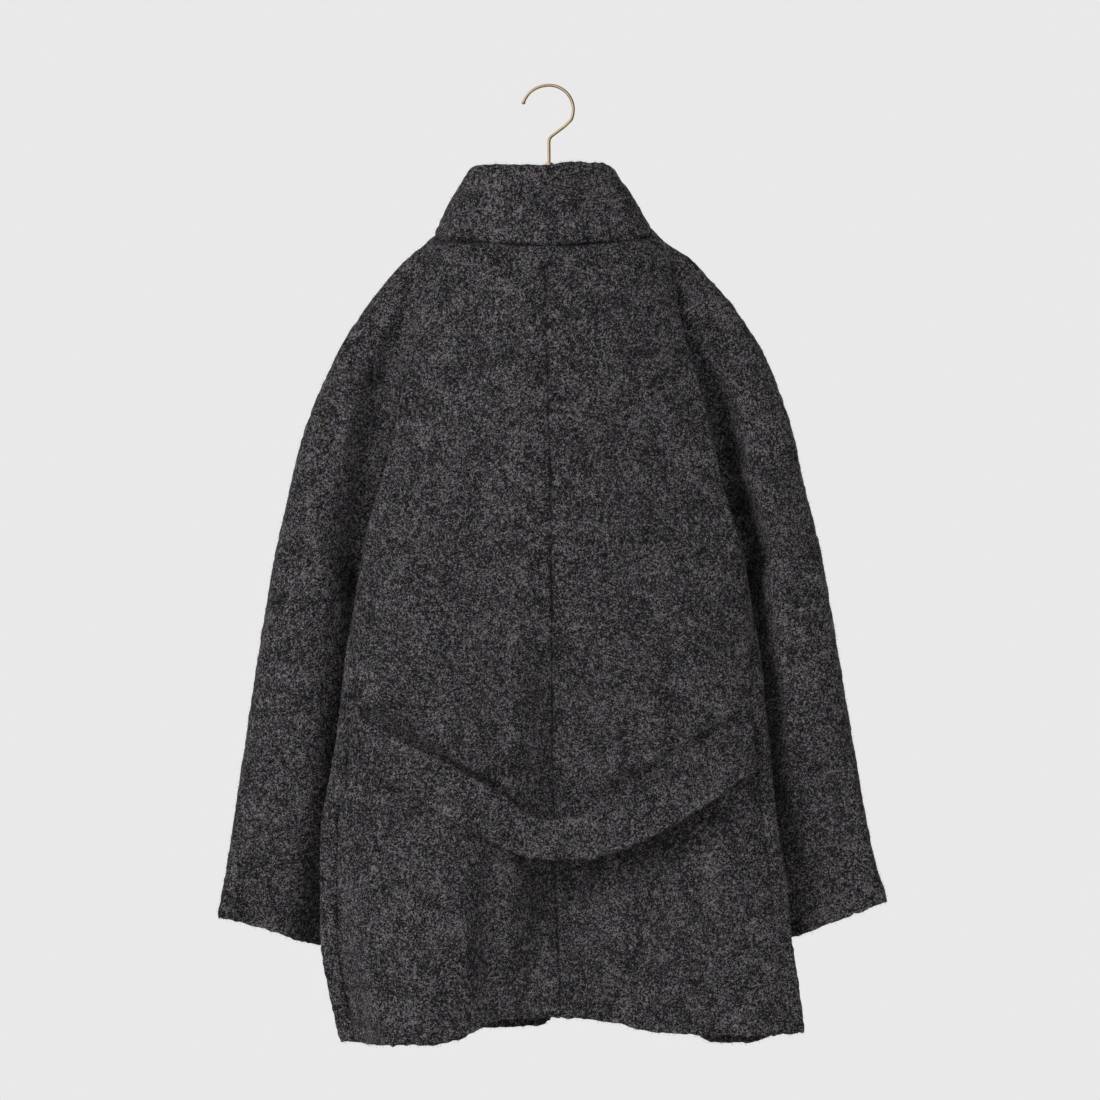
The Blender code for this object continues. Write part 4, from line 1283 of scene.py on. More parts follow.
@dataclass
class CollarCloth:
    """Stand collar, one double-thick band from front edge to front edge."""

    neck: NeckLine
    wall: float = 5.0
    end_step: float = BodyForm.collar_end
    swell: float = 3.0
    end_fall: float = 9.0
    end_band: float = 0.3
    middle: Place = (8.0, 0.0, 120.0)
    seam_gap: float = 0.3
    seam_sink: float = 1.7
    edge_swell: float = 0.5
    edge_depth: float = 12.0
    half_length: float = 225.0
    half_columns: int = 110
    stand_height: float = 85.0
    rows: int = 44
    cut_size: Cut = Cut(470.0, 95.0, 0.92)
    creases: tuple[Crease, ...] = creases(
        (62, 112, 84, 146, 12, -1.6), (-44, 106, -70, 144, 13, -1.8), (14, 100, 22, 148, 14, -1.2),
        (-22, 96, -30, 140, 14, 1.0),
    )

    def point(self, turn: Array, height: Array) -> Array:
        """Outer face of the collar.

        Args:
            turn: From the left front end (0) round the back to the right one (1).
            height: From the neck seam (0) to the top edge (1).

        Returns:
            Places (x, y, drop).
        """
        turn, height = alike(turn, height)
        step = self.end_step * (1.0 - 2.0 * turn)
        base = self.neck.seam_at(step)
        top = self.neck.around(self.neck.collar_top, step)
        past = np.abs(step) - self.end_step + self.end_band
        top[..., 2] += self.end_fall * smooth(past / self.end_band)
        out = self.neck.facing(step)
        out[..., 2] = 0.0
        swell = self.swell * np.sin(math.pi * height)
        return base + (top - base) * height[..., None] + out * swell[..., None]

    def cut(self) -> ClothGrid:
        """Lay out the collar with its seam sunk and its free edges rounded.

        Returns:
            The collar's grid.
        """
        half = edge_steps(self.half_columns, self.half_length, self.wall / 2.0)
        turn = 0.5 + 0.5 * np.concatenate((-half[::-1], (0.0,), half))
        height = np.concatenate(((0.0,), edge_steps(self.rows, self.stand_height, self.wall / 2.0)))
        points = self.point(turn[None, :], height[:, None])
        collar = ClothGrid("wool_collar", points, self.wall, points - np.array(self.middle))
        collar.draw_in(Edge.TOP, self.seam_gap)
        collar.face_edge(Edge.TOP, self.neck.facing(self.end_step * (1.0 - 2.0 * turn)))
        collar.sink_seam(Edge.TOP, self.seam_sink)
        for edge in (Edge.BOTTOM, Edge.FIRST, Edge.LAST):
            collar.round_edge(edge, swell=self.edge_swell, hem=self.edge_depth)
        on_back = smooth((points[..., 1] + 4.0) / 12.0)
        collar.crease(self.creases, on_back)
        return collar


@dataclass
class BeltCloth:
    """Half belt that hangs loose across the back between the side seams."""

    form: BodyForm
    wall: float = 5.0
    room: float = 0.9
    stand: float = 13.0
    lean: float = 8.0
    reach: float = 0.985
    start_share: float = 0.68
    share_limits: tuple[float, float] = (0.4, 0.98)
    back_length: float = 790.0
    rounds: int = 4
    end_powers: tuple[float, float] = (7.0, 3.0)
    edge_swell: float = 0.4
    edge_depth: float = 9.0
    half_height: float = 25.0
    half_rows: int = 15
    columns: int = 241
    cut_size: Cut = Cut(480.0, 52.0, 0.95)
    edges: SizeTable = SizeTable(("x", "upper", "lower"), (
        (-216, 631, 681), (-190, 642, 693), (-150, 662, 720), (-110, 695, 744), (-70, 715, 762),
        (-30, 728, 771), (0, 733, 771), (30, 721, 768), (50, 708, 761), (90, 684, 738),
        (130, 664, 714), (170, 642, 691), (196, 626, 676),
    ))
    creases: tuple[Crease, ...] = creases(
        (2, 736, -10, 770, 12, -2), (40, 716, 52, 756, 16, 1.2), (-62, 720, -80, 756, 18, 1.2),
        (110, 676, 122, 716, 16, -1.0), (-140, 674, -150, 716, 16, -1.0),
    )

    def point(self, along: Array, height: Array) -> Array:
        """Outer face of the belt.

        Args:
            along: From the right side seam (-1) to the left one (1).
            height: From the top edge (0) to the lower edge (1).

        Returns:
            Places (x, y, drop).
        """
        along, height = alike(along, height)
        faces = []
        for side in Side:
            u = np.abs(along) * self.reach
            v = np.full_like(u, self.start_share)
            for _ in range(self.rounds):
                place = self.form.back_point(side, u, v)
                upper = self.edges.at("upper", place[..., 0])
                target = upper + (self.edges.at("lower", place[..., 0]) - upper) * height
                v = np.clip(v + (target - place[..., 2]) / self.back_length, *self.share_limits)
            still = 1.0 - np.abs(along) ** np.where(along < 0.0, *self.end_powers)
            off = self.room + self.stand * still * (0.75 + 0.35 * height) + self.wall
            off = off + self.lean * (1.0 - 2.2 * height) * hump((along - 0.55) / 0.5)
            off = off + self.lean * (height - 0.4) * hump((along + 0.5) / 0.6)
            face = self.form.back_point(side, u, v)
            faces.append(face + self.form.back_normal(side, u, v) * off[..., None])
        return np.where((along >= 0.0)[..., None], faces[0], faces[1])

    def cut(self) -> ClothGrid:
        """Lay out the belt with its folded edges rounded and its ends sunk into the side seams.

        Returns:
            The belt's grid.
        """
        half = edge_steps(self.half_rows, self.half_height, self.wall / 2.0)
        height = 0.5 + 0.5 * np.concatenate((-half[::-1], (0.0,), half))
        points = self.point(np.linspace(-1.0, 1.0, self.columns)[None, :], height[:, None])
        belt = ClothGrid("wool_back_belt", points, self.wall, np.array((0.0, 1.0, 0.0)))
        for edge in (Edge.TOP, Edge.BOTTOM):
            belt.round_edge(edge, swell=self.edge_swell, hem=self.edge_depth)
        for edge in (Edge.FIRST, Edge.LAST):
            belt.sink_seam(edge)
        belt.crease(self.creases)
        return belt


def ring_angles(count: int) -> Array:
    """Even angles once round."""
    return np.linspace(0.0, FULL_TURN, count, endpoint=False)


def way_along(path: Array) -> Array:
    """Way along a path to each of its points."""
    return np.concatenate(((0.0,), np.cumsum(np.linalg.norm(np.diff(path, axis=0), axis=1))))


@dataclass
class Shape:
    """Closed rounded bodies gathered into one mesh."""

    points: list[Array] = field(default_factory=list)
    faces: list[list[int]] = field(default_factory=list)
    count: int = 0

    def loft(self, rings: list[Array]) -> "Shape":
        """Add a closed body through rings of the same number of points.

        Args:
            rings: Rings of places in (x, y, drop).

        Returns:
            This shape.
        """
        size = len(rings[0])
        places = np.concatenate(rings)
        faces = []
        for i in range(len(rings) - 1):
            for j in range(size):
                k = (j + 1) % size
                faces.append([i * size + j, i * size + k, (i + 1) * size + k, (i + 1) * size + j])
        ends = (places[:size].mean(axis=0), places[-size:].mean(axis=0))
        places = np.concatenate((places, ends))
        last = (len(rings) - 1) * size
        for j in range(size):
            k = (j + 1) % size
            faces.append([k, j, len(places) - 2])
            faces.append([last + j, last + k, len(places) - 1])
        solid = places * (1.0, 1.0, -1.0)
        corners = np.array([face[:3] for face in faces])
        triple = np.cross(solid[corners[:, 1]], solid[corners[:, 2]])
        if np.sum(solid[corners[:, 0]] * triple) < 0.0:
            faces = [face[::-1] for face in faces]
        self.faces += [[self.count + k for k in face] for face in faces]
        self.points.append(places)
        self.count += len(places)
        return self

    def sweep(self, path: Array, radii: Array | float, sides: int) -> "Shape":
        """Add a round body along a path.

        Args:
            path: Places along the middle.
            radii: Radius, one for all or one for each place.
            sides: Points round it.

        Returns:
            This shape.
        """
        path = np.asarray(path, dtype=float)
        radii = np.broadcast_to(np.asarray(radii, dtype=float), len(path))
        tangents = unit(np.gradient(path, axis=0))
        across = unit(np.cross(tangents[0], RING_START))
        angles = ring_angles(sides)
        rings = []
        for place, along, radius in zip(path, tangents, radii):
            across = unit(across - along * np.dot(across, along))
            other = np.cross(along, across)
            ring = np.cos(angles)[:, None] * across + np.sin(angles)[:, None] * other
            rings.append(place + radius * ring)
        return self.loft(rings)

    def mesh(self, name: str) -> Mesh:
        """Turn what was gathered into a mesh."""
        return mesh_from_points(name, np.concatenate(self.points), self.faces)


def fine_path(places: list[Place], step: float, parts: int = 24) -> Array:
    """Draw a smooth line through places, with points a fixed step apart.

    Args:
        places: Places on the line.
        step: Distance between the points that are returned.
        parts: Parts that each span is drawn in at first.

    Returns:
        Points along the line.
    """
    rows = np.array(places, dtype=float)
    rows = np.concatenate((2.0 * rows[:1] - rows[1:2], rows, 2.0 * rows[-1:] - rows[-2:-1]))
    t = np.linspace(0.0, 1.0, parts, endpoint=False)[:, None]
    spans = [curve_between(*rows[i:i + 4], t) for i in range(len(rows) - 3)]
    line = np.concatenate(spans + [rows[-2:-1]])
    far = way_along(line)
    even = np.linspace(0.0, far[-1], max(int(far[-1] / step), 4) + 1)
    return np.stack([np.interp(even, far, line[:, k]) for k in range(3)], axis=-1)


def twisted_cord(shape: Shape, path: Array, radius: float, pitch: float, strands: int = 3) -> None:
    """Add a cord of twisted strands.

    Args:
        shape: Shape that takes the strands.
        path: Points along the cord, evenly spaced.
        radius: Outer radius of the cord.
        pitch: Length of one full twist.
        strands: Number of strands.
    """
    far = way_along(path)
    tangents = unit(np.gradient(path, axis=0))
    side = unit(np.cross(tangents, STRAND_START))
    other = np.cross(tangents, side)
    strand_radius = STRAND_SHARE * radius
    for number in range(strands):
        angle = FULL_TURN * (far / pitch + number / strands)
        offset = np.cos(angle)[:, None] * side + np.sin(angle)[:, None] * other
        shape.sweep(path + offset * (radius - strand_radius), strand_radius, STRAND_SIDES)


def set_inputs(tree: NodeTree, node: Node, inputs: dict[str | int, object]) -> None:
    """Set or link inputs of a node.

    Args:
        tree: Tree of the node.
        node: The node.
        inputs: Values, or sockets to link from, by the input's name or number.
    """
    for key, value in inputs.items():
        if isinstance(value, NodeSocket):
            tree.links.new(value, node.inputs[key])
        else:
            node.inputs[key].default_value = value


def add_node(
    tree: NodeTree,
    kind: str,
    settings: dict[str, object] | None = None,
    inputs: dict[str | int, object] | None = None,
    output: str | int = 0,
) -> NodeSocket | None:
    """Add a node to a tree.

    Args:
        tree: Shader or geometry tree.
        kind: Type of the node.
        settings: Properties to set; stops gives the (place, colour) pairs of a colour ramp.
        inputs: Values, or sockets to link from, by the input's name or number.
        output: Name or number of the output that is wanted.

    Returns:
        That output, or None for a node without outputs.
    """
    node = tree.nodes.new(kind)
    for name, value in (settings or {}).items():
        if name != "stops":
            setattr(node, name, value)
            continue
        stops = node.color_ramp.elements
        while len(stops) < len(value):
            stops.new(1.0)
        for stop, (place, colour) in zip(stops, value):
            stop.position = place
            stop.color = colour
    set_inputs(tree, node, inputs or {})
    return node.outputs[output] if node.outputs else None


@dataclass
class NodeTool:
    """A geometry node tree with named inputs, run once on an object."""

    name: str
    inputs: dict[str, str]
    tree: NodeTree = field(init=False)
    sockets: dict[str, str] = field(init=False)
    source: Node = field(init=False)

    def __post_init__(self) -> None:
        """Make the tree with its geometry and named inputs."""
        self.tree = bpy.data.node_groups.new(self.name, "GeometryNodeTree")
        for way in ("INPUT", "OUTPUT"):
            self.tree.interface.new_socket("Geometry", in_out=way, socket_type="NodeSocketGeometry")
        self.sockets = {}
        for label, kind in self.inputs.items():
            made = self.tree.interface.new_socket(label, in_out="INPUT", socket_type=kind)
            self.sockets[label] = made.identifier
        self.source = add_node(self.tree, "NodeGroupInput").node

    def close(self, instances: NodeSocket, look: Material) -> None:
        """End the tree in real faces with a material.

        Args:
            instances: What the tree has planted.
            look: Material of the faces.
        """
        real = add_node(self.tree, "GeometryNodeRealizeInstances", inputs={"Geometry": instances})
        dressed = add_node(self.tree, "GeometryNodeSetMaterial", inputs={"Geometry": real, "Material": look})
        add_node(self.tree, "NodeGroupOutput", inputs={"Geometry": dressed})

    def run(self, base: Object, values: dict[str, object]) -> Mesh:
        """Run the tree on an object.

        Args:
            base: Object whose mesh goes in.
            values: Values of the named inputs.

        Returns:
            The result as a plain mesh.
        """
        modifier = base.modifiers.new(self.name, "NODES")
        modifier.node_group = self.tree
        for label, value in values.items():
            modifier[self.sockets[label]] = value
        graph = bpy.context.evaluated_depsgraph_get()
        mesh = bpy.data.meshes.new_from_object(base.evaluated_get(graph))
        base.modifiers.remove(modifier)
        return mesh


def stitch_tool(look: Material) -> NodeTool:
    """Build a tree that sets one stitch on every point of a mesh.

    Args:
        look: Material of the stitches.

    Returns:
        The tool.
    """
    tool = NodeTool("stitch_row", {"Stitch": "NodeSocketObject"})
    given = tool.source.outputs
    stitch = add_node(tool.tree, "GeometryNodeObjectInfo", None, {"Object": given["Stitch"]}, "Geometry")
    inputs = {"Points": given["Geometry"], "Instance": stitch}
    tool.close(add_node(tool.tree, "GeometryNodeInstanceOnPoints", inputs=inputs), look)
    return tool


@dataclass
class Nap:
    """Fine fibres that stand off the wool, thinner at the seams."""

    look: Material
    density: float = 46000.0
    shortest: float = 1.6
    longest: float = 4.4
    width_share: float = 0.036
    least_tilt: float = 0.6
    most_tilt: float = 1.35
    seed: int = 17
    tool: NodeTool = field(init=False)
    fibre: Object = field(init=False)

    def __post_init__(self) -> None:
        """Make the bent fibre and the tree that plants it."""
        half = self.width_share / 2.0
        bend = 0.8 * half
        foot = [(-half, 0.0, 0.0), (half, 0.0, 0.0)]
        points = [*foot, (-bend, 0.1, 0.55), (bend, 0.1, 0.55), (0.0, 0.34, 1.0)]
        mesh = bpy.data.meshes.new("fibre")
        mesh.from_pydata(points, [], [(0, 1, 3, 2), (2, 3, 4)])
        self.fibre = put("fibre", mesh)
        self.tool = self.plant()

    def plant(self) -> NodeTool:
        """Build the tree that plants the fibres.

        Returns:
            The tool, with sizes in metres and angles in radians.
        """
        floats = ("Density", "Shortest", "Longest", "Least Tilt", "Most Tilt")
        kinds = {label: "NodeSocketFloat" for label in floats}
        tool = NodeTool("wool_nap", {**kinds, "Seed": "NodeSocketInt", "Fibre": "NodeSocketObject"})
        given = tool.source.outputs
        tree = tool.tree
        nap = {"data_type": "FLOAT"}
        share = add_node(tree, "GeometryNodeInputNamedAttribute", nap, {"Name": "nap"}, "Attribute")
        density = add_node(tree, "ShaderNodeMath", {"operation": "MULTIPLY"}, {0: share, 1: given["Density"]})
        roots = add_node(
            tree, "GeometryNodeDistributePointsOnFaces", {"distribute_method": "RANDOM"},
            {"Mesh": given["Geometry"], "Density": density, "Seed": given["Seed"]}, "Points",
        )
        spans = {
            "tilt": (given["Least Tilt"], given["Most Tilt"]),
            "spin": (0.0, FULL_TURN),
            "size": (given["Shortest"], given["Longest"]),
            "tone": (0.0, 1.0),
        }
        drawn = {}
        for seed, (label, (least, most)) in enumerate(spans.items(), start=1):
            inputs = {2: least, 3: most, "Seed": seed}
            drawn[label] = add_node(tree, "FunctionNodeRandomValue", inputs=inputs, output=1)
        angles = add_node(tree, "ShaderNodeCombineXYZ", inputs={"X": drawn["tilt"], "Z": drawn["spin"]})
        turn = add_node(tree, "FunctionNodeEulerToRotation", inputs={"Euler": angles})
        lean = add_node(
            tree, "FunctionNodeRotateRotation", {"rotation_space": "LOCAL"},
            {"Rotation": roots.node.outputs["Rotation"], "Rotate By": turn},
        )
        fibre = add_node(tree, "GeometryNodeObjectInfo", None, {"Object": given["Fibre"]}, "Geometry")
        inputs = {"Points": roots, "Instance": fibre, "Rotation": lean, "Scale": drawn["size"]}
        stand = add_node(tree, "GeometryNodeInstanceOnPoints", inputs=inputs)
        toned = add_node(
            tree, "GeometryNodeStoreNamedAttribute", {"data_type": "FLOAT", "domain": "INSTANCE"},
            {"Geometry": stand, "Name": "tone", "Value": drawn["tone"]},
        )
        tool.close(toned, self.look)
        return tool

    def grow(self, cloth: Object, number: int) -> Object:
        """Grow the fibres of one piece of cloth.

        Args:
            cloth: The piece.
            number: Number of the piece, for its own random pattern.

        Returns:
            The fibres as one piece.
        """
        mesh = self.tool.run(cloth, {
            "Density": self.density,
            "Shortest": self.shortest * MM,
            "Longest": self.longest * MM,
            "Least Tilt": self.least_tilt,
            "Most Tilt": self.most_tilt,
            "Seed": self.seed + number,
            "Fibre": self.fibre,
        })
        return piece_from_mesh(cloth.name.replace("wool_", "nap_"), mesh, self.look)

    def clear(self) -> None:
        """Take the single fibre out of the scene."""
        bpy.data.objects.remove(self.fibre, do_unlink=True)


@dataclass
class ToggleRow:
    """Three wooden toggles, each tied to the left front and caught in a cord loop of the right front."""

    form: BodyForm
    drops: tuple[float, ...] = (275.0, 425.0, 575.0)
    length: float = 52.0
    radius: float = 6.5
    middle_x: float = 64.0
    waist: float = 1.3
    cord_radius: float = 2.2
    cord_pitch: float = 8.5
    loop_start_x: float = 4.0
    loop_half_gap: float = 5.2
    loop_step: float = 0.9
    stem_step: float = 0.6
    ring_share: float = 0.55
    ring_twists: float = 8.0
    ring_places: int = 49
    rest: float = 0.5
    toggle_gap: float = 0.4
    tack_stitches: int = 9
    tack_inset: float = 2.0
    tack_step: float = 0.95
    thread_radius: float = 0.5
    barrel_sides: int = 32
    barrel_rings: int = 57

    def face_y(self, side: Side, x: float, drop: float) -> float:
        """Find the outer face of a front.

        Args:
            side: Side of the front.
            x: Place across the coat.
            drop: Drop of the place.

        Returns:
            Y of the face there.
        """
        u = np.linspace(0.5, 1.0, 90)[None, :]
        v = np.linspace(0.0, 0.7, 140)[:, None]
        face = self.form.front_point(side, u, v).reshape(-1, 3)
        return float(face[np.argmin((face[:, 0] - x) ** 2 + (face[:, 2] - drop) ** 2), 1])

    def loop_path(self, drop: float, lap_end: float, cord_y: float) -> list[Place]:
        """Places along a loop, from its sewn end round the toggle and back.

        Args:
            drop: Drop of the toggle.
            lap_end: X of the right front's edge.
            cord_y: Y of the cord behind the toggle.

        Returns:
            Places in (x, y, drop).
        """
        run = []
        for x in np.linspace(self.loop_start_x, lap_end + 2.0, 6):
            y = self.face_y(Side.RIGHT, min(x, lap_end - 1.0), drop) - self.cord_radius - self.rest
            run.append((x, y, drop - self.loop_half_gap))
        turn = []
        for angle in np.radians(np.linspace(-90.0, 90.0, 9)):
            x = self.middle_x + self.loop_half_gap * math.cos(angle)
            turn.append((x, cord_y, drop + self.loop_half_gap * math.sin(angle)))
        back = [(x, y, drop + self.loop_half_gap) for x, y, _ in reversed(run)]
        return run + turn + back

    def barrel(self, y: float, drop: float) -> Shape:
        """Turn a barrel with a shallow waist for the tie.

        Args:
            y: Y of its middle.
            drop: Drop of its middle.

        Returns:
            The barrel.
        """
        rings = []
        angles = ring_angles(self.barrel_sides)
        circle = np.stack((np.zeros_like(angles), np.cos(angles), np.sin(angles)), axis=-1)
        for share in np.sin(np.linspace(-0.5, 0.5, self.barrel_rings) * math.pi):
            radius = self.radius * (1.0 - 0.45 * abs(share) ** 2.5)
            end = max(abs(share) - 0.955, 0.0) / 0.045
            radius = radius * math.sqrt(max(1.0 - 0.9 * end ** 2, 0.05))
            radius -= self.waist * float(hump(share * self.length / 2.0 / (1.3 * self.cord_radius)))
            rings.append(circle * radius + (self.middle_x + share * self.length / 2.0, y, drop))
        return Shape().loft(rings)

    def tie(self, cloth_y: float, barrel_y: float, drop: float) -> Shape:
        """Tie a toggle to the left front with a stem of cord and a ring round its waist.

        Args:
            cloth_y: Y of the left front.
            barrel_y: Y of the toggle's middle.
            drop: Drop of the toggle.

        Returns:
            The tie.
        """
        made = Shape()
        run = np.linspace(cloth_y - self.rest, barrel_y + self.radius, 5)
        stem = fine_path([(self.middle_x, y, drop) for y in run], self.stem_step)
        twisted_cord(made, stem, self.cord_radius, self.cord_pitch)
        thin = self.ring_share * self.cord_radius
        radius = self.radius - self.waist + thin
        turn = np.linspace(0.0, FULL_TURN, self.ring_places)
        middle = np.full_like(turn, self.middle_x)
        ring = np.stack((middle, barrel_y + radius * np.cos(turn), drop + radius * np.sin(turn)), axis=-1)
        twisted_cord(made, ring, thin, FULL_TURN * radius / self.ring_twists, 2)
        return made

    def build(self, wood: Material, cord: Material, thread: Material) -> None:
        """Make the toggles, ties, loops and the tacks that hold the loops down.

        Args:
            wood: Material of the toggles.
            cord: Material of the cords.
            thread: Material of the tacks.
        """
        lap_end = self.form.laps[1]
        tack_places = []
        for number, drop in enumerate(self.drops, start=1):
            lap_y = self.face_y(Side.RIGHT, lap_end - 4.0, drop)
            cloth_y = self.face_y(Side.LEFT, self.middle_x, drop)
            cord_y = min(lap_y, cloth_y) - self.cord_radius - self.rest
            barrel_y = cord_y - self.cord_radius - self.toggle_gap - self.radius
            loop = Shape()
            path = fine_path(self.loop_path(drop, lap_end, cord_y), self.loop_step)
            twisted_cord(loop, path, self.cord_radius, self.cord_pitch)
            for name, stands_for, shape, look, slot in (
                ("cord_loop_%d", "toggle_loop_%d", loop, cord, "cord"),
                ("wood_toggle_%d", "toggle_%d", self.barrel(barrel_y, drop), wood, "dark_wood"),
                ("cord_tie_%d", "toggle_tie_%d", self.tie(cloth_y, barrel_y, drop), cord, "cord"),
            ):
                mesh = shape.mesh(name % number)
                piece_from_mesh(name % number, mesh, look, stands_for % number)
            for stitch in range(self.tack_stitches):
                x = self.loop_start_x + self.tack_inset + stitch * self.tack_step
                tack_places.append((x, self.face_y(Side.RIGHT, x, drop), drop))
        self.tack(np.array(tack_places), thread)

    def stitch(self) -> Object:
        """Make one tack stitch: a thread over both ends of a loop, at the origin.

        Returns:
            The stitch.
        """
        half = self.loop_half_gap + self.cord_radius + 0.8
        height = 2.0 * self.cord_radius + self.rest + self.thread_radius
        path = []
        for share in np.linspace(-1.0, 1.0, 9):
            path.append((0.0, -height * (1.0 - abs(share) ** 4) + 0.3, half * share))
        mesh = Shape().sweep(np.array(path), self.thread_radius, 6).mesh("tack_stitch")
        mesh.shade_smooth()
        return put("tack_stitch", mesh)

    def tack(self, places: Array, thread: Material) -> None:
        """Sew the loops' ends down with a stitch at each place.

        Args:
            places: Where the stitches stand, (x, y, drop).
            thread: Material of the thread.
        """
        template = self.stitch()
        base = put("tack_places", mesh_from_points("tack_places", places, []))
        mesh = stitch_tool(thread).run(base, {"Stitch": template})
        for used in (base, template):
            bpy.data.objects.remove(used, do_unlink=True)
        piece_from_mesh("thread_tacks", mesh, thread)


@dataclass
class Hanger:
    """Brass hook and ferrule on a plain beech bar whose arms droop and bow to the front."""

    outer_line: SizeTable
    wire_radius: float = 1.6
    hook_radius: float = 24.4
    hook_spread: float = 1.1
    tip_angle: float = 168.0
    leave_angle: float = -25.0
    neck: tuple[tuple[float, float], ...] = (
        (-18, 37.6), (-14.0, 41.0), (-4.6, 48), (-1.3, 51.0), (0, 54.8),
    )
    neck_straight: float = 8.0
    arc_places: int = 22
    ball_radius: float = 2.15
    path_step: float = 0.5
    wire_sides: int = 24
    ferrule_radius: float = 5.0
    ferrule_top: float = 76.0
    ferrule_bottom: float = 92.0
    ferrule_foot: tuple[tuple[float, float], ...] = (
        (0.82, 1.0), (0.85, 0.95), (0.88, 0.95), (0.91, 1.0), (0.97, 1.0), (1.0, 0.95),
    )
    gap: float = 0.3
    bar_half_thick: float = 7.0
    bar_thinning: float = 0.25
    bar_height: float = 26.0
    bar_lowering: float = 0.45
    bar_reach: float = 184.0
    bar_tip: float = 0.94
    bar_tip_square: float = 0.0037
    bar_room: float = 7.0
    bar_neck: tuple[tuple[float, float], ...] = ((68.0, 124.0), (88.0, 144.0))
    bar_arm: tuple[float, ...] = (112.0, 128.0, 143.0, 160.0, 177.0, 190.0)
    bar_rings: int = 161
    bow: float = 14.0
    sides: int = 40

    def hook_path(self) -> Array:
        """Lay out the hook's wire from its tip over the rail and down to the ferrule.

        Returns:
            Points along its middle.
        """
        centre = self.hook_radius - self.wire_radius
        path = []
        for angle in np.radians(np.linspace(self.tip_angle, self.leave_angle, self.arc_places)):
            reach = self.hook_radius * (self.hook_spread if math.cos(angle) < 0.0 else 1.0)
            path.append((-reach * math.cos(angle), 0.0, centre - self.hook_radius * math.sin(angle)))
        path += [(x, 0.0, drop) for x, drop in self.neck]
        straight = (self.ferrule_top - self.neck_straight, self.ferrule_top - self.gap)
        path += [(0.0, 0.0, drop) for drop in straight]
        return fine_path(path, self.path_step)

    def bar_top(self, x: float) -> float:
        """Find the bar's top under the cloth of the shoulders.

        Args:
            x: Place along the bar.

        Returns:
            Drop of its top there.
        """
        lines = np.array(self.outer_line.rows)
        left = np.interp(self.bar_arm, lines[:, 1], lines[:, 0])
        right = np.interp(self.bar_arm, lines[:, 2], lines[:, 0])
        rows = [(0.0, self.ferrule_bottom + self.gap), (30.0, self.ferrule_bottom + 6.0), *self.bar_neck]
        rows += list(zip(self.bar_arm, np.maximum(left, right) + self.bar_room))
        return float(SizeTable(("x", "drop"), tuple(rows)).at("drop", abs(x)))

    def bar(self) -> Shape:
        """Build the bar through its oval sections, with rounded tips.

        Returns:
            The bar.
        """
        rings = []
        angles = ring_angles(self.sides)
        for x in self.bar_reach * np.sin(np.linspace(-0.5, 0.5, self.bar_rings) * math.pi):
            way = abs(x) / self.bar_reach
            tip = math.sqrt(max(1.0 - max(way - self.bar_tip, 0.0) ** 2 / self.bar_tip_square, 0.01))
            half = self.bar_half_thick * (1.0 - self.bar_thinning * way) * tip
            height = self.bar_height * (1.0 - self.bar_lowering * way)
            tall = height * tip
            middle = self.bar_top(x) + height / 2.0
            bow = -self.bow * (abs(x) / self.bar_arm[-1]) ** 2
            drop = middle - np.sin(angles) * tall / 2.0
            ring = (np.full_like(angles, x), np.cos(angles) * half + bow, drop)
            rings.append(np.stack(ring, axis=-1))
        return Shape().loft(rings)

    def ferrule(self) -> Shape:
        """Turn the ferrule with a rounded shoulder and a fine bead at its foot.

        Returns:
            The ferrule.
        """
        rings = []
        angles = ring_angles(self.sides)
        circle = np.stack((np.cos(angles), np.sin(angles), np.zeros_like(angles)), axis=-1)
        profile = [(0.0, 0.50), (0.02, 0.60)]
        for angle in np.linspace(0.2, math.pi / 2.0, 9):
            profile.append((0.33 * (1.0 - math.cos(angle)), 0.6 + 0.4 * math.sin(angle)))
        profile += self.ferrule_foot
        for way, share in profile:
            drop = self.ferrule_top + (self.ferrule_bottom - self.ferrule_top) * way
            rings.append(circle * self.ferrule_radius * share + (0.0, 0.0, drop))
        return Shape().loft(rings)

    def build(self, brass: Material, beech: Material) -> None:
        """Make the hook, the ferrule and the bar.

        Args:
            brass: Material of the metal.
            beech: Material of the wood.
        """
        path = self.hook_path()
        ball = 1.0 - np.arange(len(path)) * self.path_step / self.ball_radius
        radii = self.ball_radius * np.sqrt(np.clip(1.0 - ball ** 2, 0.01, 1.0))
        radii = np.where(ball > 0.0, radii, np.maximum(radii, self.wire_radius))
        hook = Shape().sweep(path, radii, self.wire_sides)
        for name, shape, look, slot in (
            ("hook", hook, brass, "brass"),
            ("ferrule", self.ferrule(), brass, "brass"),
            ("bar", self.bar(), beech, "beech"),
        ):
            piece_from_mesh(slot + "_" + name, shape.mesh(name), look, "hanger_" + name)


def linear(colour: str) -> tuple[float, float, float, float]:
    """Linear colour, with full cover, of an sRGB hex value."""
    parts = [int(colour[k:k + 2], 16) / 255.0 for k in (1, 3, 5)]
    return (*(c / 12.92 if c <= 0.04045 else ((c + 0.055) / 1.055) ** 2.4 for c in parts), 1.0)


def per_metre(size: float) -> float:
    """Scale of a noise whose cells measure a size in millimetres."""
    return 1.0 / (size * MM)


def new_material(name: str) -> tuple[Material, NodeTree, Node]:
    """Start a material.

    Args:
        name: Name of the material.

    Returns:
        The material, its tree and its principled shader.
    """
    made = bpy.data.materials.new(name)
    made.use_nodes = True
    return made, made.node_tree, made.node_tree.nodes["Principled BSDF"]


